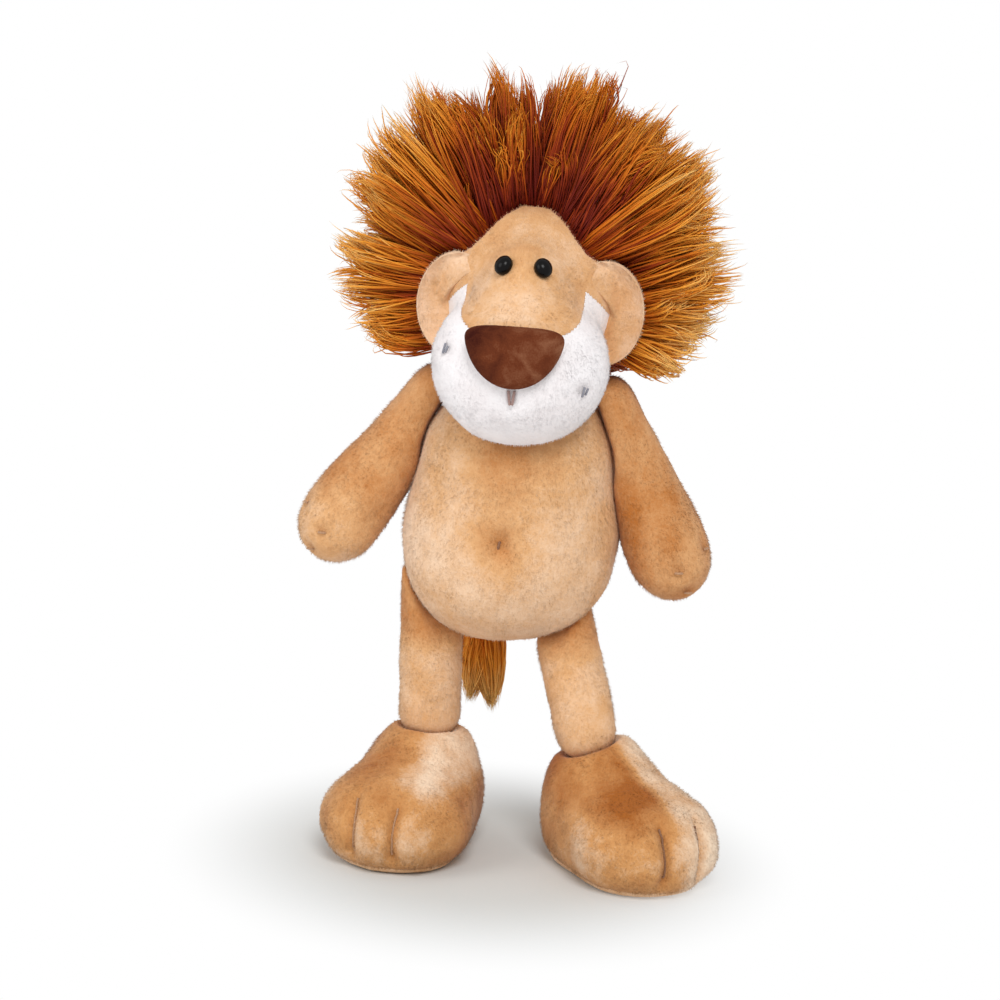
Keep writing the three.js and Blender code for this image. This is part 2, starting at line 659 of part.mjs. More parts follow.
function addHead() {
  const group = pivotGroup('head', neckPivot);
  const neckDome = ball(neckPivot, even(torsoDomeRadius + slideGap), bodyDetail);
  const outer = headForm(0, bodyDetail);
  const inner = headForm(-cloth, liningDetail);
  const clear = headForm(seamGap, bodyDetail);
  const hairline = skull.y - hairlineForward;
  const front = box(vector(-far, -far, 0), vector(far, hairline, far));
  const shell = outer.subtract(inner).subtract(neckDome).intersect(front);

  let core = headForm(-cloth - seamGap, liningDetail).subtract(neckDome);
  let face = shell.subtract(whiteZone(seamGap));
  for (const side of ['left', 'right']) {
    const cut = addEye(group, side, core);
    core = cut.core;
    face = face.subtract(cut.shankRoom);
  }
  addPiece(group, 'face_panel', face, tan);
  addPiece(group, 'muzzle_panel', shell.intersect(whiteZone(0)), white);
  addPiece(group, 'head_stuffing', core, filling);

  const nosePlace = skull.clone().add(vector(0, -noseForward, -noseDrop));
  const noseRadii = half(noseWidth, noseThickness, noseHeight);
  const nose = softForm(nosePlace, noseRadii, limbLiningDetail, (point) => noseInside(point, nosePlace));
  addPiece(group, 'nose_pad', nose.subtract(clear), brown);

  const stitchClear = seamGap + stitchWidth / 2;
  const mouth = facePoint(skull.x, skull.z - mouthDrop, stitchClear);
  const mouthRadii = half(stitchWidth, stitchWidth, mouthLength);
  addPiece(group, 'mouth_stitch', ball(mouth, mouthRadii, stitchDetail), thread);
  for (const side of ['left', 'right']) {
    const x = skull.x + sides[side] * (whiskerSpread / 2);
    const whisker = facePoint(x, skull.z - whiskerDrop, stitchClear);
    const spot = ball(whisker, even(stitchWidth / 2), stitchDetail);
    addPiece(group, `whisker_stitch_${side}`, spot, greyThread);
    addEar(group, side, clear);
  }

  // The mane turns about the line from the face to the back of the head, with a lobed rim
  const maneCentre = skull.clone().add(vector(0, 0, maneRise));
  const profile = maneOutlineShares.map(([radiusShare, depthShare]) => (
    new THREE.Vector2((radiusShare * maneWidth) / 2, depthShare * maneBackDepth)
  ));
  const mane = new THREE.LatheGeometry(profile, maneLobes * facetsPerLobe);
  const points = mane.attributes.position;
  for (let i = 0; i < points.count; i += 1) {
    const share = Math.hypot(points.getX(i), points.getZ(i)) / (maneWidth / 2);
    const angle = Math.atan2(points.getX(i), points.getZ(i));
    const swell = 1 + maneLobeShare * share * share * Math.cos(maneLobes * angle);
    const dropShare = Math.max(-points.getZ(i) / (maneWidth / 2), 0);
    points.setX(i, points.getX(i) * swell * (1 - maneNarrowShare * dropShare));
    points.setZ(i, points.getZ(i) * swell);
  }
  mane.translate(maneCentre.x, maneCentre.y, maneCentre.z);
  const faceRoom = clear.intersect(box(vector(-far, -far, 0), vector(far, hairline + seamGap, far)));
  const hem = box(vector(-far, -far, 0), vector(far, far, neckPivot.z + maneHemRise));
  const whole = solid(mane).subtract(inner).subtract(faceRoom).subtract(neckDome).subtract(hem);
  const halves = {
    left: box(vector(skull.x + seamGap / 2, -far, 0), vector(far, far, far)),
    right: box(vector(-far, -far, 0), vector(skull.x - seamGap / 2, far, far)),
  };
  addPiece(group, 'mane_left', whole.intersect(halves.left), rust);
  addPiece(group, 'mane_right', whole.intersect(halves.right), rust);
}

// Tail: a tube that hangs from the back of the body and ends in a tuft of two locks
function addTail() {
  const rootZ = torsoBase + tailRootRise;
  const rootY = torsoHalfSize(rootZ).depth + slideGap + tailWidth / 2;
  const start = vector(torsoCentreX(rootZ), rootY, rootZ);
  const end = start.clone().add(vector(-tailSideways, 0, -tailLength));
  const group = pivotGroup('tail', start);
  const tube = (grow) => {
    const length = start.distanceTo(end);
    const geometry = new THREE.CapsuleGeometry(tailWidth / 2 + grow, length, tailCapRings, smallFacets, 1);
    const middle = start.clone().lerp(end, 1 / 2);
    const direction = end.clone().sub(start).normalize();
    geometry.applyQuaternion(new THREE.Quaternion().setFromUnitVectors(vector(0, 1, 0), direction));
    geometry.translate(middle.x, middle.y, middle.z);
    return solid(geometry);
  };
  addPiece(group, 'tail_tube', tube(0), tan);

  const lock = half(tuftWidth, tuftWidth, tuftLength);
  const locks = [-1, 1].map((which) => vector(
    end.x + which * (tuftSpread / 2),
    end.y,
    end.z + tailWidth / 2 - tuftLength / 2 - ((which + 1) / 2) * tuftStep,
  ));
  const tuftCentre = locks[0].clone().lerp(locks[1], 1 / 2);
  const tuftRadii = half(tuftWidth + tuftSpread, tuftWidth, tuftLength);
  const tuft = softForm(tuftCentre, tuftRadii, limbLiningDetail, (point) => (
    blended(outsideBall(point, locks[0], lock), outsideBall(point, locks[1], lock), tuftBlend) < 0
  ));
  addPiece(group, 'tail_tuft', tuft.subtract(tube(seamGap)), rust);
}

for (const side of ['left', 'right']) {
  addFoot(side);
  addLeg(side);
  addArm(side);
}
addTorso();
addHead();
addTail();

// The origin is under the middle of the whole lion, on the floor
const bounds = new THREE.Box3().setFromObject(root, true);
const middleOfAll = bounds.getCenter(new THREE.Vector3());
root.position.set(-middleOfAll.x, -middleOfAll.y, -bounds.min.z);

export default root;
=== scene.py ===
import json
import math

import bmesh
import bpy
import numpy as np
from mathutils import Matrix, Vector, noise


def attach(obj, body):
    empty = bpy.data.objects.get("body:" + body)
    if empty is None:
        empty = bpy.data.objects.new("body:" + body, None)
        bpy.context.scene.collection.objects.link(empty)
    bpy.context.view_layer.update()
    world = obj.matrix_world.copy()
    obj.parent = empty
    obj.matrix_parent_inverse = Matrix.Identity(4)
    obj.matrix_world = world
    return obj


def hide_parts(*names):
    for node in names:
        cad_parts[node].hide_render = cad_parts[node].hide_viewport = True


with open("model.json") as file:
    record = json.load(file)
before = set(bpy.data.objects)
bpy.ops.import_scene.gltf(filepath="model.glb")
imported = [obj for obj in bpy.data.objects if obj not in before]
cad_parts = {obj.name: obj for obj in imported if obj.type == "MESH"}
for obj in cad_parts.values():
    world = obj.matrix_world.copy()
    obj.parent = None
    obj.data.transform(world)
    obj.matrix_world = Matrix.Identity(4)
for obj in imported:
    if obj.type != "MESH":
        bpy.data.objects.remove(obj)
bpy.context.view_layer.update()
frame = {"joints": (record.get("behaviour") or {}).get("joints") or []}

# Camera: a long lens a little above the lion and to its left, tilted slightly. The lion faces -Y with its
# left side at +X, and its places are in millimetres, which MM turns into metres.
MM = 0.001
hinges = {joint["name"]: np.array(joint["pos_m"]) / MM for joint in frame["joints"]}
neck = hinges["neck_turn"]
camera_azimuth = math.radians(5)
camera_elevation = math.radians(12)
camera_roll = math.radians(3.3)
camera_distance = 0.907
look_at = Vector((neck[0] * MM, neck[1] * MM, 0.118))
back = Vector((
    math.sin(camera_azimuth) * math.cos(camera_elevation),
    -math.cos(camera_azimuth) * math.cos(camera_elevation),
    math.sin(camera_elevation),
))
across = Vector((math.cos(camera_azimuth), math.sin(camera_azimuth), 0))
upward = back.cross(across)
tilted_across = across * math.cos(camera_roll) + upward * math.sin(camera_roll)
tilted_up = upward * math.cos(camera_roll) - across * math.sin(camera_roll)
camera = bpy.data.objects.new("camera", bpy.data.cameras.new("camera"))
bpy.context.scene.collection.objects.link(camera)
camera.data.lens = 108
camera.data.sensor_width = 36
camera.data.shift_x = -0.018
camera.data.shift_y = -0.027
camera.data.clip_start = 0.05
camera.data.clip_end = 60
rotation = Matrix((tilted_across, tilted_up, back)).transposed()
camera.matrix_world = Matrix.Translation(look_at + back * camera_distance) @ rotation.to_4x4()
bpy.context.scene.camera = camera
bpy.context.scene.view_settings.view_transform = "Standard"


# Floor: a sheet of pale grey paper round the lion's feet, a painted shadow that deepens the soft real one,
# fading to plain white a little way out so that only the shadow shows.
def linear(red, green, blue):
    """A colour as it is read off a screen, from 0 to 255, as a shader takes it"""
    shares = [value / 255 for value in (red, green, blue)]
    return [s / 12.92 if s <= 0.04045 else ((s + 0.055) / 1.055) ** 2.4 for s in shares] + [1]


class Wire:
    """One output in a shader tree, which adds Math nodes when it takes part in a sum"""

    def __init__(self, finish, socket):
        self.finish = finish
        self.socket = socket

    def maths(self, operation, *values, clamp=False):
        settings = {"operation": operation, "use_clamp": clamp}
        return self.finish.node("ShaderNodeMath", settings, dict(enumerate(values)))

    def __add__(self, other):
        return self.maths("ADD", self, other)

    def __sub__(self, other):
        return self.maths("SUBTRACT", self, other)

    def __mul__(self, other):
        return self.maths("MULTIPLY", self, other)

    def __rsub__(self, other):
        return self.maths("SUBTRACT", other, self)

    __radd__ = __add__
    __rmul__ = __mul__

    def limited(self):
        return self.maths("ADD", self, 0, clamp=True)


class Finish:
    """A material or world whose tree takes any node in one call"""

    def __init__(self, name, owner=None):
        self.owner = owner or bpy.data.materials.new(name)
        self.owner.use_nodes = True
        self.tree = self.owner.node_tree
        self.tree.nodes.clear()

    def node(self, kind, settings=None, sockets=None, output=0):
        made = self.tree.nodes.new(kind)
        for key, value in (settings or {}).items():
            if key == "stops":
                for _ in range(len(value) - 2):
                    made.color_ramp.elements.new(0.5)
                for element, (position, colour) in zip(made.color_ramp.elements, value):
                    element.position = position
                    element.color = colour
            else:
                setattr(made, key, value)
        for key, value in (sockets or {}).items():
            if isinstance(value, Wire):
                self.tree.links.new(value.socket, made.inputs[key])
            else:
                made.inputs[key].default_value = value
        return Wire(self, made.outputs[output]) if made.outputs else None

    def ends_in(self, wire):
        kind = "World" if isinstance(self.owner, bpy.types.World) else "Material"
        self.node(f"ShaderNodeOutput{kind}", {}, {"Surface": wire})
        return self.owner


floor_reach = 12
shadow_middle = ((neck[0] - 4) * MM, (neck[1] - 12) * MM, 0)
fade_start = 0.036
fade_end = 0.1
floor_finish = Finish("pale_floor")
ground = floor_finish.node("ShaderNodeNewGeometry", {}, {}, "Position")
distance = floor_finish.node(
    "ShaderNodeVectorMath", {"operation": "DISTANCE"}, {0: ground, 1: shadow_middle}, "Value"
)
fade = floor_finish.node("ShaderNodeMapRange", {"interpolation_type": "SMOOTHSTEP"}, {
    "Value": distance, "From Min": fade_start, "From Max": fade_end,
})
# painted shadow: the paper near the feet is grey, so the shadow there is darker than the lamps make it
grey_shadow_floor = floor_finish.node("ShaderNodeBsdfDiffuse", {}, {"Color": linear(214, 217, 216)})
white_floor = floor_finish.node("ShaderNodeEmission", {}, {"Color": (1, 1, 1, 1), "Strength": 1})
floor_mesh = bpy.data.meshes.new("floor")
floor_signs = [(-1, -1), (1, -1), (1, 1), (-1, 1)]
floor_mesh.from_pydata([(x * floor_reach, y * floor_reach, 0) for x, y in floor_signs], [], [(0, 1, 2, 3)])
floor_mesh.materials.append(floor_finish.ends_in(
    floor_finish.node("ShaderNodeMixShader", {}, {0: fade, 1: grey_shadow_floor, 2: white_floor})
))
floor = bpy.data.objects.new("floor", floor_mesh)
bpy.context.scene.collection.objects.link(floor)

# Studio: a white room that lights the lion from all sides and is seen as plain white, with a key softbox
# on the right of the picture and a weaker fill on its left.
world = bpy.data.worlds.new("studio")
bpy.context.scene.world = world
studio = Finish("studio", world)
seen = studio.node("ShaderNodeLightPath", {}, {}, "Is Camera Ray")
glossy = studio.node("ShaderNodeLightPath", {}, {}, "Is Glossy Ray")
soft_room = studio.node("ShaderNodeBackground", {}, {"Color": (1, 1, 1, 1), "Strength": 0.52})
white_room = studio.node("ShaderNodeBackground", {}, {"Color": (1, 1, 1, 1), "Strength": 1})
studio.ends_in(studio.node(
    "ShaderNodeMixShader", {}, {0: (seen + glossy).limited(), 1: soft_room, 2: white_room}
))


def softbox(name, place, size, power):
    lamp = bpy.data.lights.new(name, "AREA")
    lamp.shape = "DISK"
    lamp.size = size
    lamp.energy = power
    box = bpy.data.objects.new(name, lamp)
    box.location = place
    box.rotation_euler = (look_at - Vector(place)).to_track_quat("-Z", "Y").to_euler()
    bpy.context.scene.collection.objects.link(box)


softbox("key_softbox", (0.3, -1.25, 1.4), 0.8, 18)
softbox("fill_softbox", (-1.1, -0.9, 0.8), 0.9, 6)


# Body cover: a belly panel and a back panel of short plush, sewn inside out down both sides and turned
# over a ball of fibre filling, with a stitch through the belly for its button.
ball_grids = {}


def ball_grid(level):
    """The points and faces of a ball of even triangles, each level made once"""
    if level not in ball_grids:
        grid = bmesh.new()
        bmesh.ops.create_icosphere(grid, subdivisions=level, radius=1)
        points = np.array([vertex.co for vertex in grid.verts])
        faces = np.array([[vertex.index for vertex in face.verts] for face in grid.faces])
        grid.free()
        ball_grids[level] = (points, faces)
    return ball_grids[level]


def last_inside(start, rays, inside, reach, rounds):
    """How far along each ray its form ends, found by halving"""
    low = np.zeros(len(rays))
    high = np.full(len(rays), float(reach))
    for _ in range(rounds):
        middle = (low + high) / 2
        hit = inside(start + rays * middle[:, None])
        low = np.where(hit, middle, low)
        high = np.where(hit, high, middle)
    return low


def soft_form(centre, radii, inside, level, turn=None):
    """A ball stretched round a form: each point moves along its ray to where the form ends"""
    rays, faces = ball_grid(level)
    rays = rays * radii
    if turn is not None:
        rays = rays @ turn.T
    return centre + rays * last_inside(centre, rays, inside, 2.2, 20)[:, None], faces


def unit(vectors):
    return vectors / np.maximum(np.linalg.norm(vectors, axis=-1, keepdims=True), 1e-9)


def gathered(faces, values, count):
    """The sum at each point of the values of the faces that meet there"""
    return np.stack([
        sum(np.bincount(faces[:, corner], values[:, axis], count) for corner in range(faces.shape[1]))
        for axis in range(values.shape[1])
    ], axis=1)


def surface_normals(points, faces):
    first, second, third = (points[faces[:, corner]] for corner in range(3))
    return unit(gathered(faces, np.cross(second - first, third - first), len(points)))


def relaxed(points, faces, rounds):
    """The points after each has moved halfway to the middle of its neighbours, some rounds over"""
    shares = gathered(faces, np.full((len(faces), 1), 2.0), len(points))
    for _ in range(rounds):
        around = np.zeros_like(points)
        for corner in range(3):
            others = points[faces[:, (corner + 1) % 3]] + points[faces[:, (corner + 2) % 3]]
            around += gathered(faces[:, [corner]], others, len(points))
        points = (points + around / shares) / 2
    return points


def smooth_step(values, low, high):
    share = np.clip((values - low) / (high - low), 0, 1)
    return share * share * (3 - 2 * share)


def hump(distance, width):
    """1 where a distance is zero, and next to nothing beyond twice the width"""
    return np.exp(-(distance / width) ** 2)


def spot(points, place, width, height):
    """A hump round a place that is given by its x and z, as seen from the front"""
    return np.exp(-((points[:, 0] - place[0]) / width) ** 2 - ((points[:, 2] - place[1]) / height) ** 2)


def cloudy(points, size, seed):
    """Smooth noise from about -1 to 1, with blots of about a size"""
    return np.array([noise.noise(Vector(place)) for place in points / size + seed * 7.3])


def mottled(points, *blots):
    """Layers of smooth noise, each given by its strength, the size of its blots and its seed"""
    return sum(strength * cloudy(points, size, seed) for strength, size, seed in blots)


def mesh_of(name, points, faces, smooth=True):
    """A mesh of points in millimetres, whose faces all have the same number of corners"""
    mesh = bpy.data.meshes.new(name)
    corners = faces.shape[1]
    mesh.vertices.add(len(points))
    mesh.vertices.foreach_set("co", (points * MM).astype(np.float32).ravel())
    mesh.loops.add(len(faces) * corners)
    mesh.loops.foreach_set("vertex_index", faces.astype(np.int32).ravel())
    mesh.polygons.add(len(faces))
    mesh.polygons.foreach_set("loop_start", np.arange(0, len(faces) * corners, corners, dtype=np.int32))
    mesh.polygons.foreach_set("use_smooth", np.full(len(faces), smooth))
    mesh.update(calc_edges=True)
    return mesh


def shaded_mesh(name, points, faces, shade):
    """The points that some faces use, as a mesh that carries its shade: the nap with painted shade and light
    """
    used, renumbered = np.unique(faces, return_inverse=True)
    mesh = mesh_of(name, points[used], renumbered.reshape(-1, 3))
    mesh.attributes.new("shade", "FLOAT", "POINT").data.foreach_set("value", shade[used].astype(np.float32))
    return mesh


def seat(made, body, stands_for):
    """Puts a piece in the scene, on the body it rides and in the place of the CAD nodes it stands for"""
    bpy.context.scene.collection.objects.link(made)
    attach(made, body)
    if stands_for:
        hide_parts(*stands_for)
    return made


def piece(mesh, finish, body, stands_for=()):
    """Seats a mesh as a piece of one finish"""
    mesh.materials.append(finish)
    made = seat(bpy.data.objects.new(mesh.name, mesh), body, stands_for)
    return made


def cloth_panel(name, points, faces, shade, finish, body, stands_for):
    """Some faces of a cover as one panel, with the cloth's thickness turned inward"""
    made = piece(shaded_mesh(name, points, faces, shade), finish, body, stands_for)
    cloth = made.modifiers.new("cloth", "SOLIDIFY")
    cloth.thickness = 1.1 * MM
    cloth.offset = -1
    return made


def plush_cloth(name, dark, middle, light):
    """Short plush's woven ground, shaded by the nap and by painted shade and light; fine noise stands for the
    pile
    """
    finish = Finish(name)
    # the shade attribute holds the nap's patches together with the painted shade and light of each piece
    nap = finish.node("ShaderNodeAttribute", {"attribute_name": "shade"}, {}, "Fac")
    place = finish.node("ShaderNodeTexCoord", {}, {}, "Object")
    fine = finish.node("ShaderNodeTexNoise", {}, {
        "Vector": place, "Scale": 1400, "Detail": 3, "Roughness": 0.7,
    })
    tufts = finish.node("ShaderNodeTexNoise", {}, {"Vector": place, "Scale": 420, "Detail": 2})
    share = (nap + (fine - 0.5) * 0.35 + (tufts - 0.5) * 0.3).limited()
    colour = finish.node("ShaderNodeValToRGB", {"stops": [(0, dark), (0.5, middle), (1, light)]}, {0: share})
    bump = finish.node("ShaderNodeBump", {}, {"Height": fine + tufts, "Strength": 0.6, "Distance": 0.0004})
    return finish.ends_in(finish.node("ShaderNodeBsdfPrincipled", {}, {
        "Base Color": colour, "Roughness": 0.95, "Normal": bump, "Sheen Weight": 0.15,
        "Specular IOR Level": 0.2,
    }))


def pile_hairs(name, dark, middle, light, root_shade=0.93):
    """The hairs of a pile: across their map runs the shade, and up it the way from root to tip"""
    finish = Finish(name)
    place = finish.node("ShaderNodeUVMap", {"uv_map": "OFBake"})
    shade = finish.node("ShaderNodeSeparateXYZ", {}, {0: place}, "X")
    along = finish.node("ShaderNodeSeparateXYZ", {}, {0: place}, "Y")
    colour = finish.node("ShaderNodeValToRGB", {"stops": [(0, dark), (0.5, middle), (1, light)]}, {0: shade})
    # painted shade: each hair is darker toward its root, where the pile shades itself
    root_shading = along * (1 - root_shade) + root_shade
    root_shading_colour = finish.node("ShaderNodeCombineColor", {}, {0: root_shading, 1: root_shading, 2: root_shading})
    shown = finish.node("ShaderNodeMix", {"data_type": "RGBA", "blend_type": "MULTIPLY"}, {
        "Factor": 1, 6: colour, 7: root_shading_colour,
    }, 2)
    return finish.ends_in(finish.node("ShaderNodeBsdfPrincipled", {}, {
        "Base Color": shown, "Roughness": 0.8, "Sheen Weight": 0.15, "Specular IOR Level": 0.25,
    }))


def strand_mesh(name, points, order, shades, heights):
    """Many strands with alike corners as one mesh, on a map that runs across by shade and up by height"""
    count, each = points.shape[:2]
    margin = 0.02
    triangles = (np.arange(count)[:, None, None] * each + np.array(order)).reshape(-1, 3)
    mesh = mesh_of(name, points.reshape(-1, 3), triangles)
    across_map = np.repeat(np.clip(shades, margin, 1 - margin), each)
    up_map = np.tile(heights, count) * (1 - 2 * margin) + margin
    lay = np.column_stack((across_map, up_map))[triangles.ravel()]
    mesh.uv_layers.new(name="OFBake").data.foreach_set("uv", lay.astype(np.float32).ravel())
    return mesh


def ring_of_three(paths, first, second, thick):
    """Three points round each path, from two directions across it and half its thickness"""
    return [paths + (first * math.cos(angle) + second * math.sin(angle)) * thick
            for angle in (0, math.tau / 3, 2 * math.tau / 3)]


def face_areas(points, faces):
    first, second, third = (points[faces[:, corner]] for corner in range(3))
    return np.linalg.norm(np.cross(second - first, third - first), axis=1) / 2


def short_pile(name, points, faces, shade, nap, finish, body, slot, seed,
               keep=slice(None), length=1.05, trim=None, rooted=None):
    """Short hairs that stand on the kept faces of a cover and lean with its nap: slim spikes by the
    thousand, rooted just under the cloth. trim is the share of their length that they keep at each
    point of the cover, and rooted says which roots stay."""
    width = 0.22
    to_each_square_mm = 2.1
    lean = 1.5
    root_depth = 0.25
    draw = np.random.default_rng(seed)
    areas = face_areas(points, faces[keep])
    count = int(areas.sum() * to_each_square_mm * (1))
    chosen = faces[keep][draw.choice(len(areas), count, p=areas / areas.sum())]
    shares = draw.random((count, 2))
    shares = np.where(shares.sum(1, keepdims=True) > 1, 1 - shares, shares)
    shares = np.column_stack((1 - shares.sum(1), shares))
    normals = surface_normals(points, faces)
    roots = (points[chosen] * shares[:, :, None]).sum(1)
    if rooted is not None:
        staying = rooted(roots)
        roots = roots[staying]
        chosen = chosen[staying]
        shares = shares[staying]
        count = len(roots)
    upright = unit((normals[chosen] * shares[:, :, None]).sum(1))
    shades = (shade[chosen] * shares).sum(1) + draw.normal(0, 0.1, count)
    flow = nap(roots)
    flow = unit(flow - (flow * upright).sum(1, keepdims=True) * upright)
    swirl = np.column_stack([cloudy(roots, 9, seed + axis) for axis in range(3)])
    heading = unit(upright + lean * (flow + 0.9 * swirl) + draw.normal(0, 0.28, (count, 3)))
    first = unit(np.cross(heading, draw.normal(0, 1, (count, 3))))
    second = np.cross(heading, first)
    lengths = length * draw.uniform(0.65, 1.15, count)
    if trim is not None:
        lengths *= (trim[chosen] * shares).sum(1)
    corners = ring_of_three(roots - upright * root_depth, first, second, width / 2)
    spikes = np.stack(corners + [roots + heading * lengths[:, None]], axis=1)
    mesh = strand_mesh(name, spikes, [[0, 1, 3], [1, 2, 3], [2, 0, 3], [0, 2, 1]], shades, [0, 0, 0, 1])
    mesh.normals_split_custom_set_from_vertices(np.repeat(upright, 4, axis=0).tolist())
    return piece(mesh, finish, body)


def nap_along(x, y, z):
    return lambda roots: np.tile((x, y, z), (len(roots), 1)).astype(float)


def thread_tube(name, path, radius, finish, body, stands_for):
    """A thread along a path, closed at both ends"""
    curve = bpy.data.curves.new(name, "CURVE")
    curve.dimensions = "3D"
    curve.bevel_depth = radius * MM
    curve.bevel_resolution = 3
    curve.use_fill_caps = True
    curve.resolution_u = 4
    line = curve.splines.new("POLY")
    line.points.add(len(path) - 1)
    for point, place in zip(line.points, path):
        point.co = (*(np.array(place) * MM), 1)
    curve.materials.append(finish)
    return seat(bpy.data.objects.new(name, curve), body, stands_for)


def thread_finish(name, colour):
    """Twisted thread, with painted shade between its strands"""
    finish = Finish(name)
    place = finish.node("ShaderNodeTexCoord", {}, {}, "Object")
    twist = finish.node("ShaderNodeTexNoise", {}, {"Vector": place, "Scale": 2600, "Detail": 2})
    shade = finish.node("ShaderNodeMix", {"data_type": "RGBA"}, {
        "Factor": twist, 6: colour, 7: [channel * 0.45 for channel in colour[:3]] + [1],
    }, 2)
    return finish.ends_in(finish.node("ShaderNodeBsdfPrincipled", {}, {
        "Base Color": shade, "Roughness": 0.7, "Sheen Weight": 0.2,
    }))


tan_tones = linear(180, 110, 48), linear(218, 167, 116), linear(243, 212, 182)
tan_cloth = plush_cloth("tan_plush", *tan_tones)
tan_hairs = pile_hairs("tan_pile", *tan_tones)
brown_thread = thread_finish("brown_thread", linear(150, 104, 72))
torso_width = 66
torso_depth = 58
torso_middle = 36
torso_dome = 54
dome_radius = 30
torso_lean = 2.5
torso_base = neck[2] - torso_dome


def in_torso(points, grow=0.0):
    """True inside the body: a rounded seat, a waist that narrows and a dome round the neck's hinge"""
    offset = points[:, 2] - torso_base - torso_middle
    rise = torso_middle + np.sign(offset) * np.maximum(np.abs(offset) - grow, 0)
    to_dome = smooth_step(rise, torso_middle, torso_dome)
    drop = np.clip((torso_middle - rise) / torso_middle, 0, 1)
    seat_share = (1 - drop ** 2.6) ** (1 / 2.15)
    dome = np.sqrt(np.maximum(dome_radius ** 2 - (rise - torso_dome) ** 2, 0))
    reach = []
    for radius in (torso_width / 2, torso_depth / 2):
        side = np.where(rise < torso_middle, radius * seat_share, radius + (dome_radius - radius) * to_dome)
        reach.append(np.where(rise > torso_dome, dome, side) + grow)
    lean = -torso_lean * np.clip((neck[2] - points[:, 2]) / torso_dome, 0, 1)
    x = (points[:, 0] - neck[0] - lean) / np.maximum(reach[0], 1e-6)
    y = (points[:, 1] - neck[1]) / np.maximum(reach[1], 1e-6)
    return (x * x + y * y < 1) & (rise > 0) & (rise < torso_dome + dome_radius) & (reach[0] > grow)


torso_centre = neck + (-torso_lean / 2, 0, (dome_radius - torso_dome) / 2)
torso_size = np.array((torso_width, torso_depth, torso_dome + dome_radius))
torso_points, torso_faces = soft_form(torso_centre, torso_size / 2, in_torso, 6)
torso_points = relaxed(torso_points, torso_faces, 12)
torso_normals = surface_normals(torso_points, torso_faces)
from_seam = torso_points[:, 1] - neck[1]
seam_reach = 0.4
torso_points[:, 1] -= np.where(np.abs(from_seam) < seam_reach, from_seam, 0)
button = np.array((neck[0] - 1.6, torso_base + 35))
beside_button = torso_points[:, 0] - button[0]
above_button = torso_points[:, 2] - button[1]
dent = spot(torso_points, button, 3.2, 4.2) * (from_seam < 0)
chest_shade_under_chin = spot(torso_points, button + (0, 26), 15, 14)
button_patch = spot(torso_points, button, 11, 7)
puckers = cloudy(torso_points * (1, 1, 0.35), 5, 3) * hump(from_seam, 7)
torso_points = torso_points + torso_normals * (
    mottled(torso_points, (0.8, 26, 1), (0.35, 9, 2)) + 0.5 * puckers - hump(from_seam, 0.9) - 2.2 * dent
)[:, None]
# painted shade and light: darker on the chest under the chin and in the button's dent, and lighter on the
# lion's right side and darker on its left, as if lit from its right
torso_shade = (
    0.63 + mottled(torso_points, (0.24, 17, 5), (0.12, 6, 6)) + 0.14 * smooth_step(above_button, 15, -30)
    - 0.4 * chest_shade_under_chin - 0.22 * button_patch - 0.2 * dent
    + 0.1 * smooth_step(-beside_button, 14, 30) - 0.12 * smooth_step(beside_button, 18, 32)
)
in_front = torso_points[torso_faces].mean(1)[:, 1] < neck[1]
torso_panels = {
    "belly": (in_front, ["belly_panel"], 11),
    "back": (~in_front, ["back_panel", "torso_stuffing"], 12),
}
for name, (side_of_body, stands_for, seed) in torso_panels.items():
    cloth_panel(f"{name}_cover", torso_points, torso_faces[side_of_body], torso_shade, tan_cloth, "torso",
                stands_for)
    short_pile(f"{name}_pile", torso_points, torso_faces, torso_shade, nap_along(0, 0, -1), tan_hairs,
               "torso", "tan_cloth", seed, side_of_body)
off_button = np.abs(beside_button) + np.abs(above_button) + torso_depth * (from_seam > 0)
button_path = [torso_points[np.argmin(off_button)] + (0.3 * step, 0.9 * step ** 2 - 0.5, 1.5 * step)
               for step in np.linspace(-1, 1, 9)]
thread_tube("belly_button_thread", button_path, 0.4, brown_thread, "torso",
            ["belly_button_stitch"])


# Neck: a plug of loose fibre filling, pushed into the neck seam so that the head rocks on it. It is out
# of sight between the body and the head.
def lumpy_filling(name, colour, roughness, lump_kind, lump_sockets, strength):
    """A loose filling: plain coloured, with lumps that a bump shows"""
    finish = Finish(name)
    place = finish.node("ShaderNodeTexCoord", {}, {}, "Object")
    lumps = finish.node(lump_kind, {}, {"Vector": place, **lump_sockets})
    bump = finish.node("ShaderNodeBump", {}, {"Height": lumps, "Strength": strength, "Distance": 0.001})
    return finish.ends_in(finish.node("ShaderNodeBsdfPrincipled", {}, {
        "Base Color": colour, "Roughness": roughness, "Normal": bump,
    }))


fibre = lumpy_filling(
    "fibre_filling", linear(246, 244, 238), 1, "ShaderNodeTexNoise", {"Scale": 260, "Detail": 5}, 0.8
)
plug_radius = 11.6
plug_bottom = dome_radius - 21.4
plug_top = dome_radius - 0.6
plug_middle = (plug_bottom + plug_top) / 2


def in_plug(points):
    offset = points - neck
    away = np.hypot(offset[:, 0], offset[:, 1]) / plug_radius
    rise = np.abs(offset[:, 2] - plug_middle) / (plug_top - plug_middle)
    return (away ** 4 + rise ** 4 < 1) & (np.linalg.norm(offset, axis=1) < dome_radius - 0.4)


plug_points, plug_faces = soft_form(neck + (0, 0, plug_middle), np.full(3, plug_radius), in_plug, 4)
piece(mesh_of("neck_plug", plug_points, plug_faces), fibre, "neck", ["neck_stuffing"])


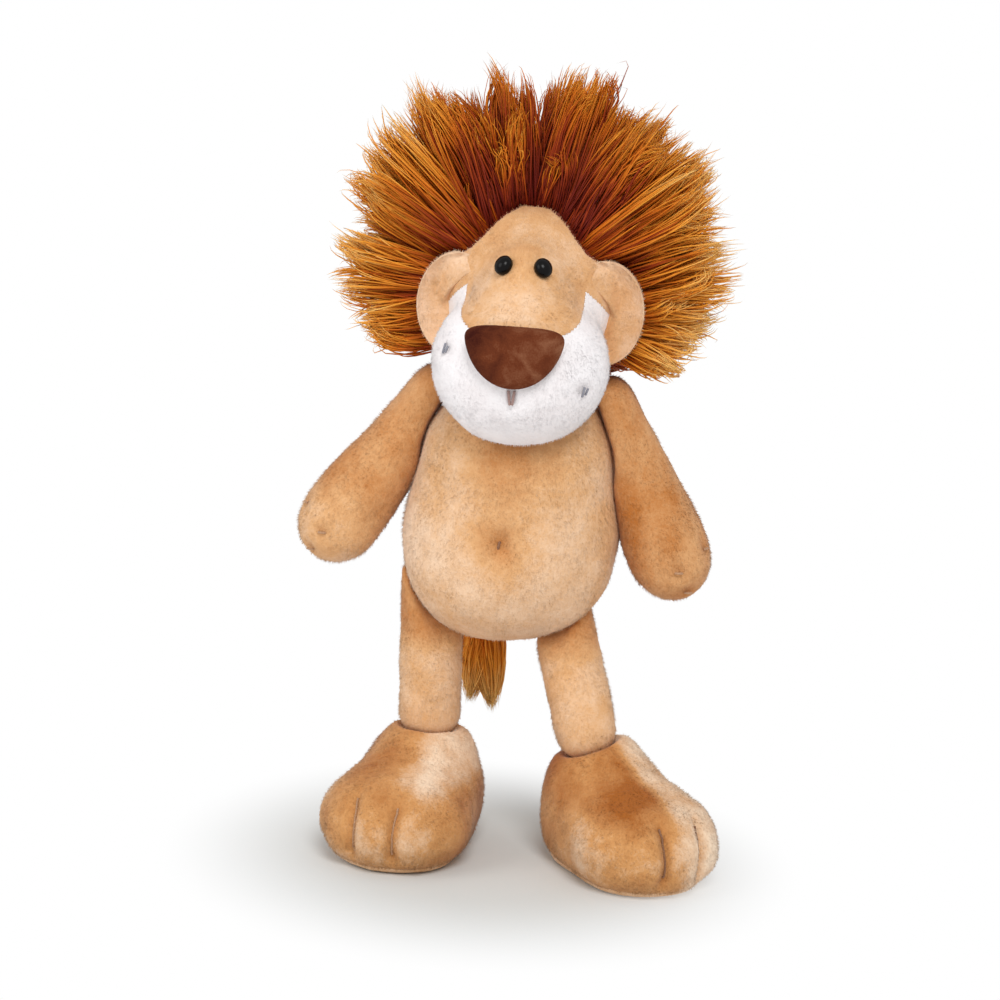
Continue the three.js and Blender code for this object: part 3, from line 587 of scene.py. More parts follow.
# Legs: sewn tubes of the body's plush, filled, and caught in the body's underside so that they swing.
# Their tops are pressed a little way into the body.
SIDES = {"left": 1, "right": -1}
hips = {side: hinges[f"hip_{side}_swing"] for side in SIDES}
ankles = {side: hinges[f"ankle_{side}_flex"] for side in SIDES}
leg_radius = 9.75
leg_reach = 22
leg_press = 1.2


def turn_about(axis, degrees):
    return np.array(Matrix.Rotation(math.radians(degrees), 3, Vector(axis)))


def torso_sweeps(points, pivot, low, high, press):
    """True where a point would enter the body deeper than a press at some angle of a swing"""
    entered = np.zeros(len(points), bool)
    for angle in np.arange(low, high + 0.1, 5):
        entered |= in_torso(pivot + (points - pivot) @ turn_about((1, 0, 0), angle).T, -press)
    return entered


for number, side in enumerate(SIDES):
    hip = hips[side]
    ankle = ankles[side]
    along = unit(ankle - hip)
    stance = math.degrees(math.atan2(-along[1], -along[2]))

    def in_leg(points):
        climb = np.maximum((ankle - points) @ along, 0)
        axis = ankle - climb[:, None] * along
        in_tube = np.linalg.norm(points - axis, axis=1) < leg_radius
        return in_tube & ~torso_sweeps(points, hip, stance - 75, stance + 15, leg_press)

    leg_points, leg_faces = soft_form(
        (hip + ankle) / 2, np.array((leg_radius, leg_radius, leg_reach)), in_leg, 5
    )
    leg_points = relaxed(leg_points, leg_faces, 4)
    leg_normals = surface_normals(leg_points, leg_faces)
    up_leg = (hip - leg_points) @ along
    leg_points = leg_points + leg_normals * (
        mottled(leg_points * (1, 1, 1.6), (0.35, 8, 21 + number)) - 0.25
    )[:, None]
    leg_shade = 0.62 + mottled(leg_points, (0.18, 12, 23 + number), (0.1, 5, 25 + number))
    # painted shade: each leg is darker toward its top, where it goes under the body
    leg_shade -= 0.4 * smooth_step(up_leg, -7, 6)
    cloth_panel(f"leg_{side}_cover", leg_points, leg_faces, leg_shade, tan_cloth, f"leg_{side}",
                [f"leg_{side}_skin", f"leg_{side}_stuffing"])
    short_pile(f"leg_{side}_pile", leg_points, leg_faces, leg_shade, nap_along(0, 0, -1), tan_hairs,
               f"leg_{side}", "tan_cloth", 31 + number)


# Feet: big padded shoes of a darker plush round a heel and a wide toe ball, closed by a flat sole. Two
# rows of thread draw in the grooves between three toes, and a bag of pellets gives the foot its weight.
heel_middle = 17
heel_radii = np.array((18, 17, 25.4))
toe_middle = 12
toe_radii = np.array((23.5, 21, 17))
toe_forward = 24
toe_spacing = 14
toe_grooves = (-toe_spacing / 2, toe_spacing / 2)
foot_blend = 17
foot_reach = np.array((23.5, 23.5, 20.5))
foot_shift = {"left": 5, "right": 0}
foot_splay = {"left": 42, "right": 15}
sole_line = 2.15
bag_size = (10.8, 10.8, 6.6)
bag_floor = 2.4


def outside_ball(points, centre, radii):
    """About how far each point lies outside a stretched ball"""
    offset = points - centre
    scaled = np.linalg.norm(offset / radii, axis=1)
    steep = np.maximum(np.linalg.norm(offset / radii ** 2, axis=1), 1e-6)
    return scaled * (scaled - 1) / steep


def blended(first, second, reach):
    """The nearer of two distances, with a fillet of some reach where they meet"""
    return np.minimum(first, second) - np.maximum(reach - np.abs(first - second), 0) ** 2 / (4 * reach)


foot_tones = linear(160, 92, 32), linear(204, 148, 92), linear(242, 216, 188)
foot_cloth = plush_cloth("foot_plush", *foot_tones)
foot_hairs = pile_hairs("foot_pile", *foot_tones)
tan_thread = thread_finish("tan_thread", linear(196, 150, 112))
toe_threads = {"left": brown_thread, "right": tan_thread}
pellets = lumpy_filling("pellets", linear(220, 218, 210), 0.8, "ShaderNodeTexVoronoi", {"Scale": 420}, 1)
for number, (side, outward) in enumerate(SIDES.items()):
    ankle = ankles[side]
    heel = np.array((ankle[0] + outward * foot_shift[side], ankle[1], 0))
    to_own = turn_about((0, 0, 1), -outward * foot_splay[side])

    def in_foot(points):
        own = (points - heel) @ to_own.T
        heel_out = outside_ball(points, heel + (0, 0, heel_middle), heel_radii)
        toe_out = outside_ball(own, np.array((0, -toe_forward, toe_middle)), toe_radii)
        socket = np.linalg.norm(points - ankle, axis=1) - leg_radius - 0.1
        return (blended(heel_out, toe_out, foot_blend) < 0) & (points[:, 2] > 0) & (socket > 0)

    heading = np.array((0, -1, 0)) @ to_own
    foot_centre = heel + heading * (toe_forward / 2) + (0, 0, toe_middle)
    foot_points, foot_faces = soft_form(foot_centre, foot_reach, in_foot, 6)
    foot_points = relaxed(foot_points, foot_faces, 8)
    foot_normals = surface_normals(foot_points, foot_faces)
    own = (foot_points - heel) @ to_own.T
    to_front = smooth_step(-own[:, 1], toe_forward + 2, toe_forward + 14)
    up_toe = smooth_step(foot_points[:, 2], 2, 7) * smooth_step(foot_points[:, 2], 27, 18)
    grooves = sum(hump(own[:, 0] - place, 1.5) for place in toe_grooves) * to_front * up_toe
    plump = np.cos(own[:, 0] / toe_spacing * math.tau) * to_front * up_toe
    sole_groove = hump(foot_points[:, 2] - sole_line, 0.8) * (1 - np.abs(foot_normals[:, 2]))
    foot_points = foot_points + foot_normals * (
        mottled(foot_points, (0.6, 15, 41 + number), (0.3, 6, 43 + number))
        - 0.4 - 2.2 * grooves + 0.35 * plump - 0.8 * sole_groove
    )[:, None] * smooth_step(foot_points[:, 2], 0, 1.5)[:, None]
    foot_points[:, 2] = np.maximum(foot_points[:, 2], 0.05)
    patches = cloudy(foot_points * (1, 1, 0.8), 13, 45 + number)
    # painted shade: darker in the toe grooves
    foot_shade = 0.48 + 0.3 * patches + 0.14 * cloudy(foot_points, 5, 47 + number) - 0.3 * grooves
    beside_heel = foot_points[:, 0] - heel[0]
    instep = hump(foot_points[:, 2] - 29, 7) * (foot_points[:, 1] < ankle[1] + 4)
    if side == "right":
        foot_shade += 0.45 * instep * smooth_step(beside_heel, -4, 5)
        foot_shade -= 0.3 * instep * smooth_step(-beside_heel, 3, 10)
        foot_shade -= 0.25 * smooth_step(beside_heel, 4, 12) * smooth_step(foot_points[:, 2], 26, 20)
    else:
        outer = smooth_step(own[:, 0], -4, 2)
        foot_shade += 0.3 * outer - 0.34 * (1 - outer) * smooth_step(foot_points[:, 2], 17, 26)
    foot_middles = foot_points[foot_faces].mean(1)
    above = foot_middles[:, 2] > sole_line
    cloth_panel(f"foot_{side}_shoe", foot_points, foot_faces[above], foot_shade, foot_cloth, f"foot_{side}",
                [f"foot_{side}_upper", f"foot_{side}_stuffing"])
    cloth_panel(f"foot_{side}_sole_cloth", foot_points, foot_faces[~above], foot_shade + 0.2, tan_cloth,
                f"foot_{side}", [f"foot_{side}_sole"])
    in_sight = above & (np.linalg.norm(foot_middles - ankle, axis=1) > leg_radius + 0.8)
    short_pile(f"foot_{side}_pile", foot_points, foot_faces, foot_shade, nap_along(0, 0, -1), foot_hairs,
               f"foot_{side}", "dark_tan_cloth", 51 + number, in_sight)
    bag_points, bag_faces = ball_grid(4)
    bag_points = heel + heading * (toe_forward / 2) + bag_points * bag_size + (0, 0, 2.6)
    bag_points[:, 2] = np.maximum(bag_points[:, 2], bag_floor)
    piece(mesh_of(f"foot_{side}_pellets", bag_points, bag_faces), pellets, f"foot_{side}",
          [f"foot_{side}_pellet_bag"])
    for index, place in enumerate(toe_grooves):
        in_groove = np.flatnonzero((np.abs(own[:, 0] - place) < 0.8) & (own[:, 1] < -toe_forward - 8)
                                   & (foot_points[:, 2] > 6.5) & (foot_points[:, 2] < 22.5))
        path = []
        for height in np.linspace(7, 22, 12):
            near = in_groove[np.argsort(np.abs(foot_points[in_groove, 2] - height))[:4]]
            path.append(foot_points[near].mean(0) + foot_normals[near].mean(0) * 0.15)
        thread_tube(f"foot_{side}_toe_thread_{index + 1}", path, 0.32, toe_threads[side], f"foot_{side}",
                    [f"foot_{side}_toe_stitch_{index + 1}"])


# Arms: clubs of the body's plush that thicken to round paws. Each dangles from a knot of thread at its
# shoulder, is flattened where it lies on the body, and has three tacks that dimple its paw.
shoulders = {side: hinges[f"arm_{side}_swing"] for side in SIDES}
arm_length = 64
paw_middle = arm_length * 0.78
shoulder_radius = 9.5
paw_radius = 13
arm_press = 0.9
hang_out = {"left": 26, "right": 34}
paw_tacks = [(0.8, 70), (0.84, 10), (0.96, 15)]
# painted light and shade: the lion's left arm is darker than its right, as if lit from its right, and each
# arm is darker above, in the mane's shadow, and lighter toward the paw
arm_tones_and_side_light = {"left": (0.2, 0.02), "right": (0.23, 0.34)}


def arm_thickness(along):
    radius = shoulder_radius + (paw_radius - shoulder_radius) * smooth_step(along, 0, paw_middle)
    past = np.clip((along - paw_middle) / (arm_length - paw_middle), 0, 1)
    round_top = np.sqrt(np.maximum(shoulder_radius ** 2 - np.minimum(along, 0) ** 2, 0)) / shoulder_radius
    return radius * np.sqrt(1 - past ** 2) * round_top


for number, (side, outward) in enumerate(SIDES.items()):
    shoulder = shoulders[side]
    arm_turn = turn_about((0, 1, 0), -outward * hang_out[side])
    along = arm_turn @ (0, 0, -1)

    def in_arm(points):
        offset = points - shoulder
        down = offset @ along
        away = np.sqrt(np.maximum((offset ** 2).sum(1) - down ** 2, 0))
        hit = away < arm_thickness(down)
        for lift in (0, 15, 30):
            lifted = shoulder + offset[hit] @ turn_about((0, -outward, 0), lift).T
            hit[hit] = ~torso_sweeps(lifted, shoulder, -90, 30, arm_press)
        return hit

    arm_centre = shoulder + along * (arm_length - shoulder_radius) / 2
    arm_size = np.array((paw_radius, paw_radius, (arm_length + shoulder_radius) / 2))
    arm_points, arm_faces = soft_form(arm_centre, arm_size, in_arm, 5, arm_turn)
    arm_points = relaxed(arm_points, arm_faces, 3)
    arm_normals = surface_normals(arm_points, arm_faces)
    down_arm = (arm_points - shoulder) @ along
    front = unit(np.array((0, -1, 0)) + along * along[1])
    tacks = []
    dimple = np.zeros(len(arm_points))
    for share, around in paw_tacks:
        ray = turn_about(along, -outward * around) @ front
        place = shoulder + along * arm_length * share + ray * arm_thickness(np.array(arm_length * share))
        tacks.append((place, ray))
        dimple += np.exp(-((arm_points - place) ** 2).sum(1) / 2.4 ** 2)
    seam_line = hump(arm_points[:, 1] - shoulder[1], 0.9)
    arm_points = arm_points + arm_normals * (
        mottled(arm_points, (0.5, 12, 61 + number), (0.25, 5, 63 + number))
        - 0.35 - 1.2 * dimple - 0.5 * seam_line
    )[:, None]
    tone, paw_lift_from_mane_shadow = arm_tones_and_side_light[side]
    # painted shade: darker in the dimples of the paw tacks
    arm_shade = (
        tone + 0.24 * cloudy(arm_points * (1, 1, 0.7), 11, 65 + number)
        + 0.12 * cloudy(arm_points, 5, 67 + number) - 0.16 * dimple + paw_lift_from_mane_shadow * smooth_step(down_arm, 30, 58)
    )
    cloth_panel(f"arm_{side}_cover", arm_points, arm_faces, arm_shade, tan_cloth, f"arm_{side}",
                [f"arm_{side}_skin", f"arm_{side}_stuffing"])
    short_pile(f"arm_{side}_pile", arm_points, arm_faces, arm_shade, nap_along(*along), tan_hairs,
               f"arm_{side}", "tan_cloth", 71 + number)
    for index, (place, ray) in enumerate(tacks):
        first = unit(np.cross(ray, (0, 0, 1)))
        path = [place + first * step * 1.1 - ray * (0.4 + 0.5 * step ** 2) for step in np.linspace(-1, 1, 7)]
        thread_tube(f"arm_{side}_tack_{index + 1}", path, 0.34, tan_thread, f"arm_{side}",
                    [f"arm_{side}_paw_tack_{index + 1}"])
    knot_points, knot_faces = ball_grid(4)
    knot_points = knot_points * (2.1 + 0.12 * np.sin(knot_points[:, [0]] * 9 + knot_points[:, [2]] * 14))
    piece(mesh_of(f"shoulder_{side}_knot", shoulder + knot_points, knot_faces), brown_thread,
          f"shoulder_{side}", [f"shoulder_tack_{side}"])


# Head: a tan face panel and a white muzzle panel, sewn along the keyhole line that runs down beside the
# bridge, and filled hard so that the muzzle stands forward as a round ball.
skull = neck + (1, 0, 54)
muzzle = skull + (0, -25, -19)
bridge = skull + (0, -20, 1)
skull_radii = np.array((55, 52, 53)) / 2
muzzle_radii = np.array((53, 48, 48)) / 2
bridge_radii = np.array((27, 36, 34)) / 2
head_blend = 5
neck_gap = 0.4
hairline = skull[1] - 6
forehead_line = np.array((
    (0, 25.6), (4, 25), (8, 22.8), (11, 20), (14, 16.4), (17, 13.2), (20, 11), (24, 9.3), (28, 8.5),
))
white_reach = 28
white_gap = 17.4
bridge_low = -3
bridge_flat = 0.35


def outside_head(points):
    skull_out = outside_ball(points, skull, skull_radii)
    muzzle_out = outside_ball(points, muzzle, muzzle_radii)
    bridge_out = outside_ball(points, bridge, bridge_radii)
    return blended(blended(skull_out, muzzle_out, head_blend), bridge_out, head_blend)


def in_white(points):
    """How far inside the white panel's outline a point lies, seen from the front"""
    x = np.abs(points[:, 0] - skull[0])
    z = points[:, 2] - skull[2]
    under_bridge = np.hypot(x / white_gap, (z - bridge_low) / (white_gap * bridge_flat)) - 1
    beside = np.where(z > bridge_low, x - white_gap, under_bridge * white_gap * bridge_flat)
    around_muzzle = np.hypot(points[:, 0] - skull[0], points[:, 2] - muzzle[2])
    return np.minimum(white_reach - around_muzzle, beside)


def behind_hairline(points):
    """How far behind the hairline a point lies: the fur meets the face in a bell over the forehead"""
    x = np.abs(points[:, 0] - skull[0])
    z = points[:, 2] - skull[2]
    return np.maximum(points[:, 1] - hairline, (z - np.interp(x, *forehead_line.T)) * 0.7)


def in_head(points):
    return (outside_head(points) < 0) & (np.linalg.norm(points - neck, axis=1) > dome_radius + neck_gap)


head_size = np.array((55, 77, 72))
head_points, head_faces = soft_form(skull + (muzzle - skull) / 3, head_size / 2, in_head, 7)
head_points = relaxed(head_points, head_faces, 14)
head_normals = surface_normals(head_points, head_faces)
white_depth = in_white(head_points)
head_seam = hump(white_depth, 1.5)
from_skull = head_points - skull
face_side = smooth_step(-from_skull[:, 1], 0, 12)
eye_places = {side: skull[0] + outward * 5.8 for side, outward in SIDES.items()}
eye_height = skull[2] + 11
sockets = sum(spot(head_points, (x, eye_height), 4, 4.4) for x in eye_places.values()) * face_side
chin_cleft = hump(from_skull[:, 0], 1.3) * smooth_step(-from_skull[:, 2], 20, 23)
chin_cleft *= smooth_step(-from_skull[:, 2], 31, 27) * face_side
whiskers = {"left": (skull[0] + 20.5, skull[2] - 23), "right": (skull[0] - 20.5, skull[2] - 13.5)}
pits = sum(spot(head_points, place, 2.2, 2.6) for place in whiskers.values()) * face_side
head_points = head_points + head_normals * (
    mottled(head_points, (0.5, 16, 81), (0.2, 6, 82)) - 0.35
    - 0.3 * head_seam * face_side - 0.7 * sockets - 0.8 * chin_cleft - 0.9 * pits
)[:, None]
head_shade = (
    0.52 + mottled(head_points, (0.2, 13, 83), (0.12, 5, 84))
    + 0.3 * spot(from_skull, (0, 0), 9, 8) * face_side - 0.2 * smooth_step(-from_skull[:, 1], 12, -4)
)
# painted shade: the white is darker in the whisker pits
white_shade = 0.72 + mottled(head_points, (0.2, 12, 85), (0.1, 5, 86)) - 0.3 * pits
head_middles = head_points[head_faces].mean(1)
front_of_head = behind_hairline(head_middles) < 0
white_faces = in_white(head_middles) > 0
near_seam = np.abs(in_white(head_middles)) < 1.5
white_tones = linear(227, 217, 215), linear(237, 230, 230), linear(245, 242, 243)
white_cloth = plush_cloth("white_plush", *white_tones)
white_hairs = pile_hairs("white_pile", *white_tones, root_shade=0.99)
cloth_panel("face_cover", head_points, head_faces[front_of_head & ~white_faces], head_shade, tan_cloth,
            "head", ["face_panel", "head_stuffing"])
cloth_panel("muzzle_cover", head_points, head_faces[front_of_head & white_faces], white_shade, white_cloth,
            "head", ["muzzle_panel"])
nose_centre = skull + (0, -49, -13)
clear_of_nose = np.linalg.norm((head_middles - nose_centre) / (13, 12, 8), axis=1) > 1
clear_of_eyes = np.ones(len(head_faces), bool)
for x in eye_places.values():
    clear_of_eyes &= ~((np.hypot(head_middles[:, 0] - x, head_middles[:, 2] - eye_height) < 2.6)
                       & (head_middles[:, 1] < skull[1]))
short_pile("face_pile", head_points, head_faces, head_shade, lambda roots: roots - skull + (0, 30, 0),
           tan_hairs, "head", "tan_cloth", 87,
           front_of_head & (~white_faces | near_seam) & clear_of_eyes & clear_of_nose, length=1,
           trim=0.55 + 0.45 * smooth_step(-white_depth, 0, 3), rooted=lambda roots: in_white(roots) < 0)
short_pile("muzzle_pile", head_points, head_faces, white_shade, nap_along(0, 0.4, -1), white_hairs, "head",
           "white_cloth", 88, front_of_head & (white_faces | near_seam) & clear_of_nose, length=1,
           trim=0.5 + 0.5 * smooth_step(white_depth, 0, 3.5), rooted=lambda roots: in_white(roots) > 0)


# Nose: a padded half disc of brown velour, crushed in patches, sewn on over the end of the bridge with its
# flat edge up.
nose_size = np.array((29.5, 9, 18))
nose_tilt = 12


def in_nose(points):
    own = (points - nose_centre) @ turn_about((1, 0, 0), nose_tilt).T
    below_top = nose_size[2] / 2 - own[:, 2]
    disc = np.hypot(own[:, 0] / (nose_size[0] / 2), below_top / nose_size[2])
    to_top = np.clip(1 - below_top / 5.5, 0, None)
    rim = (disc ** 4 + to_top ** 4) ** 0.25
    return (rim ** 2.4 + (np.abs(own[:, 1]) / (nose_size[1] / 2)) ** 2 < 1) & (below_top > 0)


velour = Finish("brown_velour")
velour_place = velour.node("ShaderNodeTexCoord", {}, {}, "Object")
crushed = velour.node("ShaderNodeTexNoise", {}, {
    "Vector": velour_place, "Scale": 150, "Detail": 3, "Distortion": 0.8,
})
nap = velour.node("ShaderNodeTexNoise", {}, {"Vector": velour_place, "Scale": 2200, "Detail": 2})
velour_light = velour.node("ShaderNodeAttribute", {"attribute_name": "shade"}, {}, "Fac")
velour_colour = velour.node("ShaderNodeValToRGB", {"stops": [
    (0, linear(52, 10, 2)), (0.5, linear(98, 46, 22)), (1, linear(146, 98, 70)),
]}, {0: (velour_light + (crushed - 0.5) * 1.1 + (nap - 0.5) * 0.3).limited()})
velour_bump = velour.node("ShaderNodeBump", {}, {
    "Height": nap + crushed, "Strength": 0.5, "Distance": 0.0003,
})
velour = velour.ends_in(velour.node("ShaderNodeBsdfPrincipled", {}, {
    "Base Color": velour_colour, "Roughness": 0.9, "Specular IOR Level": 0.15, "Normal": velour_bump,
}))
nose_points, nose_faces = soft_form(nose_centre, nose_size / 2, in_nose, 5)
nose_points = relaxed(nose_points, nose_faces, 3)
# painted sheen: the velour is lighter toward the lion's left, and a little darker toward its top
nose_shade = (
    0.24 + 0.4 * smooth_step(nose_points[:, 0] - skull[0], -11, 4)
    - 0.1 * smooth_step(nose_points[:, 2] - nose_centre[2], 3, 8)
)
piece(shaded_mesh("nose_velour", nose_points, nose_faces, nose_shade), velour, "head",
      ["nose_pad"])


# Eyes: black safety eyes, which are glossy domes with a shank through the cloth, each held by a clear
# washer behind it.
def turned_form(profile, segments, stretch=(1, 1)):
    """A profile of radius and height, turned about +Z and closed at both ends on the axis"""
    angles = np.arange(segments) * math.tau / segments
    inner = np.array(profile[1:-1], float)
    rings = np.stack([
        np.outer(inner[:, 0], np.cos(angles)) * stretch[0],
        np.outer(inner[:, 0], np.sin(angles)) * stretch[1],
        np.repeat(inner[:, 1:], segments, axis=1),
    ], axis=2)
    points = np.vstack([rings.reshape(-1, 3), (0, 0, profile[0][1]), (0, 0, profile[-1][1])])
    faces = []
    last = len(inner) * segments
    for step in range(segments):
        beyond = (step + 1) % segments
        faces.append((last, beyond, step))
        faces.append((last + 1, last - segments + step, last - segments + beyond))
        for ring in range(len(inner) - 1):
            low, high = ring * segments, (ring + 1) * segments
            faces += [(low + step, low + beyond, high + beyond), (low + step, high + beyond, high + step)]
    return points, np.array(faces)


def head_surface(x, z, grow=0.0):
    """The point of the face at a place seen from the front, and the way it faces"""
    near, beyond = skull[1], skull[1] - 75
    for _ in range(24):
        middle = (near + beyond) / 2
        inside = outside_head(np.array([[x, middle, z]]))[0] < grow
        near, beyond = (middle, beyond) if inside else (near, middle)
    place = np.array((x, near, z))
    steps = np.eye(3) * 0.01
    slope = outside_head(place + steps) - outside_head(place - steps)
    return place, unit(slope)


def facing(direction):
    return np.array(Vector(direction).to_track_quat("Z", "Y").to_matrix())


black = Finish("black_plastic")
black = black.ends_in(black.node("ShaderNodeBsdfPrincipled", {}, {
    "Base Color": linear(10, 8, 8), "Roughness": 0.2, "Specular IOR Level": 0.12,
}))
clear = Finish("clear_plastic")
clear = clear.ends_in(clear.node("ShaderNodeBsdfPrincipled", {}, {
    "Base Color": linear(232, 232, 232), "Roughness": 0.4, "Subsurface Weight": 0.3,
}))
dome_steps = np.radians(np.linspace(0, 84, 12))
eye_profile = [(0, -7.4), (0.9, -7.4), (1, -7.2), (1, -1.4), (2.6, -1.2), (2.9, -0.9)]
eye_profile += [(3 * math.cos(step), 2.2 * math.sin(step)) for step in dome_steps] + [(0, 2.2)]
washer_section = [(1.35, 0), (2.85, 0), (3, 0.2), (3, 0.8), (2.85, 1), (1.35, 1)]
washer_spokes = 32
washer_behind = 5
for side, x in eye_places.items():
    place, out_of_face = head_surface(x, eye_height, 0.3)
    eye_points, eye_faces = turned_form(eye_profile, 40, (0.9, 1))
    eye_points = place + eye_points @ facing(out_of_face).T
    piece(mesh_of(f"eye_{side}_dome", eye_points, eye_faces), black, "head", [f"eye_{side}"])
    ring_points = np.array([
        (radius * math.cos(angle), radius * math.sin(angle), height)
        for radius, height in washer_section for angle in np.arange(washer_spokes) * math.tau / washer_spokes
    ])
    ring_points = place - out_of_face * washer_behind + ring_points @ facing(out_of_face).T
    ring_faces = []
    for row in range(len(washer_section)):
        low = row * washer_spokes
        high = (row + 1) % len(washer_section) * washer_spokes
        for step in range(washer_spokes):
            beyond = (step + 1) % washer_spokes
            ring_faces.append((low + step, low + beyond, high + beyond, high + step))
    piece(mesh_of(f"eye_{side}_lock", ring_points, np.array(ring_faces), False), clear, "head",
          [f"eye_washer_{side}"])


# Mouth and whiskers: two bars of mauve thread under the nose and two bars of grey thread on each cheek,
# pulled tight so that they lie in the plush.
mauve_thread = thread_finish("mauve_thread", linear(176, 142, 134))
for index, lean in enumerate((-1, 1)):
    mouth_path = [
        head_surface(skull[0] + lean * (0.35 + 0.5 * (1 - down)), skull[2] - 22.6 - 4.2 * down, -0.25)[0]
        for down in np.linspace(0, 1, 9)
    ]
    thread_tube(f"mouth_thread_{index + 1}", mouth_path, 0.42, mauve_thread, "head",
                ["mouth_stitch"] if index == 0 else [])
grey_thread = thread_finish("grey_thread", linear(150, 150, 160))
for side, (x, z) in whiskers.items():
    for index, aside in enumerate((-0.55, 0.3)):
        half_length = 1.4 - index * 0.5
        path = [
            head_surface(x + aside + step * 0.3, z + step * half_length, -0.2)[0] + (0, 0.3 * step ** 2, 0)
            for step in np.linspace(-1, 1, 7)
        ]
        thread_tube(f"whisker_{side}_thread_{index + 1}", path, 0.36, grey_thread, "head",
                    [f"whisker_stitch_{side}"] if index == 0 else [])


# Ears: two layers of plush each, cupped forward and sewn into the side of the head, so that the cheek
# runs out into the front layer without a step.
ear_radii = np.array((12, 6, 15.5))
ear_spread = {"left": 22.5, "right": 20.5}
ear_forward = 14
ear_drop = 4
ear_fillet = 9
ear_near = {"left": 1.7, "right": 3.3}
ear_layers = {"back": (1.7, 1.5), "front": (0, 1.4)}
ear_tones = linear(178, 112, 56), linear(217, 168, 120), linear(242, 211, 182)
ear_cloth = plush_cloth("ear_plush", *ear_tones)
ear_hairs = pile_hairs("ear_pile", *ear_tones)
ear_looks = {
    "back": (tan_cloth, tan_hairs, "tan_cloth"),
    "front": (ear_cloth, ear_hairs, "dark_tan_cloth"),
}
rounds = 26
spokes = 80


def face_depth(points):
    """Where the front of the head lies behind each point, or its middle beside the head"""
    near = np.full(len(points), skull[1])
    beyond = near - 75
    for _ in range(16):
        middle = (near + beyond) / 2
        inside = outside_head(np.column_stack((points[:, 0], middle, points[:, 2]))) < 0
        near = np.where(inside, middle, near)
        beyond = np.where(inside, beyond, middle)
    return near


for number, (side, outward) in enumerate(SIDES.items()):
    centre = skull + (outward * ear_spread[side], -ear_forward, -ear_drop)
    share = np.linspace(0, 1, rounds + 1)[1:, None] ** 0.8
    angles = (np.arange(spokes) * math.tau / spokes)[None, :]
    cup = np.stack([
        share * np.cos(angles) * ear_radii[0],
        np.sqrt(np.maximum(1 - share ** 2 * 0.93, 0)) * ear_radii[1] - ear_near[side] + 0 * angles,
        share * np.sin(angles) * ear_radii[2],
    ], axis=2).reshape(-1, 3)
    cup = np.vstack([cup, (0, ear_radii[1] - ear_near[side], 0)]) + centre
    face_front = face_depth(cup)
    ahead_of_cup = cup[:, 1] - face_front
    sheet = cup.copy()
    sheet[:, 1] = blended(cup[:, 1], face_front - 0.2, ear_fillet)
    sheet[:, 1] += 1.1 * smooth_step(ahead_of_cup, 1, ear_fillet - 0.5)
    at_rim = smooth_step(np.hypot(*((cup - centre)[:, [0, 2]] / ear_radii[[0, 2]]).T), 0.72, 1)
    sheet[:, 1] += 2.6 * at_rim * smooth_step(ahead_of_cup, -4, 1)
    under_white = smooth_step(in_white(sheet), -2.2, -0.2)
    sheet[:, 1] = sheet[:, 1] * (1 - under_white) + cup[:, 1] * under_white
    for layer, (near, thick) in ear_layers.items():
        points = np.vstack([sheet + (0, near + thick, 0), sheet + (0, near, 0)])
        half_count = len(sheet)
        faces = []
        for step in range(spokes):
            beyond = (step + 1) % spokes
            faces.append((half_count - 1, step, beyond))
            faces.append((2 * half_count - 1, half_count + beyond, half_count + step))
            for row in range(rounds - 1):
                a, b = row * spokes + step, row * spokes + beyond
                c, d = a + spokes, b + spokes
                faces += [(a, d, b), (a, c, d)]
                a, b, c, d = (half_count + value for value in (a, b, c, d))
                faces += [(a, b, d), (a, d, c)]
            a, b = (rounds - 1) * spokes + step, (rounds - 1) * spokes + beyond
            faces += [(a, half_count + b, b), (a, half_count + a, half_count + b)]
        faces = np.array(faces)[:, ::-1]
        kept = outside_head(points[faces].mean(1)) > (-2.4 if layer == "front" else 0.2)
        away = np.hypot((points[:, 0] - centre[0]) / ear_radii[0], (points[:, 2] - centre[2]) / ear_radii[2])
        hollow_shade = spot(points, (centre[0] - outward, centre[2] - 7), 6, 7)
        # painted light and shade: each ear is lighter at its rim and darker in its cup, the lion's right ear
        # lighter all over as if lit from its right, and the left ear darker low inside its hollow
        shade = 0.55 + 0.15 * smooth_step(away, 0.6, 1) + 0.18 * cloudy(points, 8, 91 + number)
        shade = shade + (0.1 if side == "right" else -0.3 * hollow_shade)
        cloth, hairs, slot = ear_looks[layer]
        piece(shaded_mesh(f"ear_{side}_{layer}_layer", points, faces[kept], shade), cloth, "head",
              [f"ear_{side}_{layer}"])
        clear_of_face = outside_head(points[faces].mean(1)) > -0.4
        outer_sheet = (faces >= half_count).all(1) if layer == "front" else (faces < half_count).any(1)
        short_pile(f"ear_{side}_{layer}_pile", points, faces, shade, lambda roots: roots - centre, hairs,
                   "head", slot, 93 + number, clear_of_face & outer_sheet, length=1)


# Mane: long fur cloth in two halves that also close the back of the head. The fur springs from the
# hairline and the scalp, dark red at its roots and golden at its tips, and gathers into pointed locks.
mane_centre = skull + (0, 0, 4)
mane_radius = 61.5
mane_depth = 50
mane_hem = neck[2] + 32.5
mane_narrow = 0.45
mane_droop = 0.03
front_rim = np.array([[0, -0.15], [0.5, -0.15], [0.8, -0.19], [0.95, -0.09], [1, 0.08]])
back_rim = np.array([[0, 1], [0.3, 0.97], [0.6, 0.86], [0.84, 0.62], [0.97, 0.32], [1, 0.08]])


def in_mane(points):
    offset = points - mane_centre
    narrowing = 1 - mane_narrow * np.clip(-offset[:, 2] / mane_radius, 0, 1)
    share = np.hypot(offset[:, 0] / narrowing, offset[:, 2]) / mane_radius
    deep = offset[:, 1] / mane_depth
    return (
        (share < 1) & (deep > np.interp(share, *front_rim.T)) & (deep < np.interp(share, *back_rim.T))
        & (points[:, 2] > mane_hem)
    )


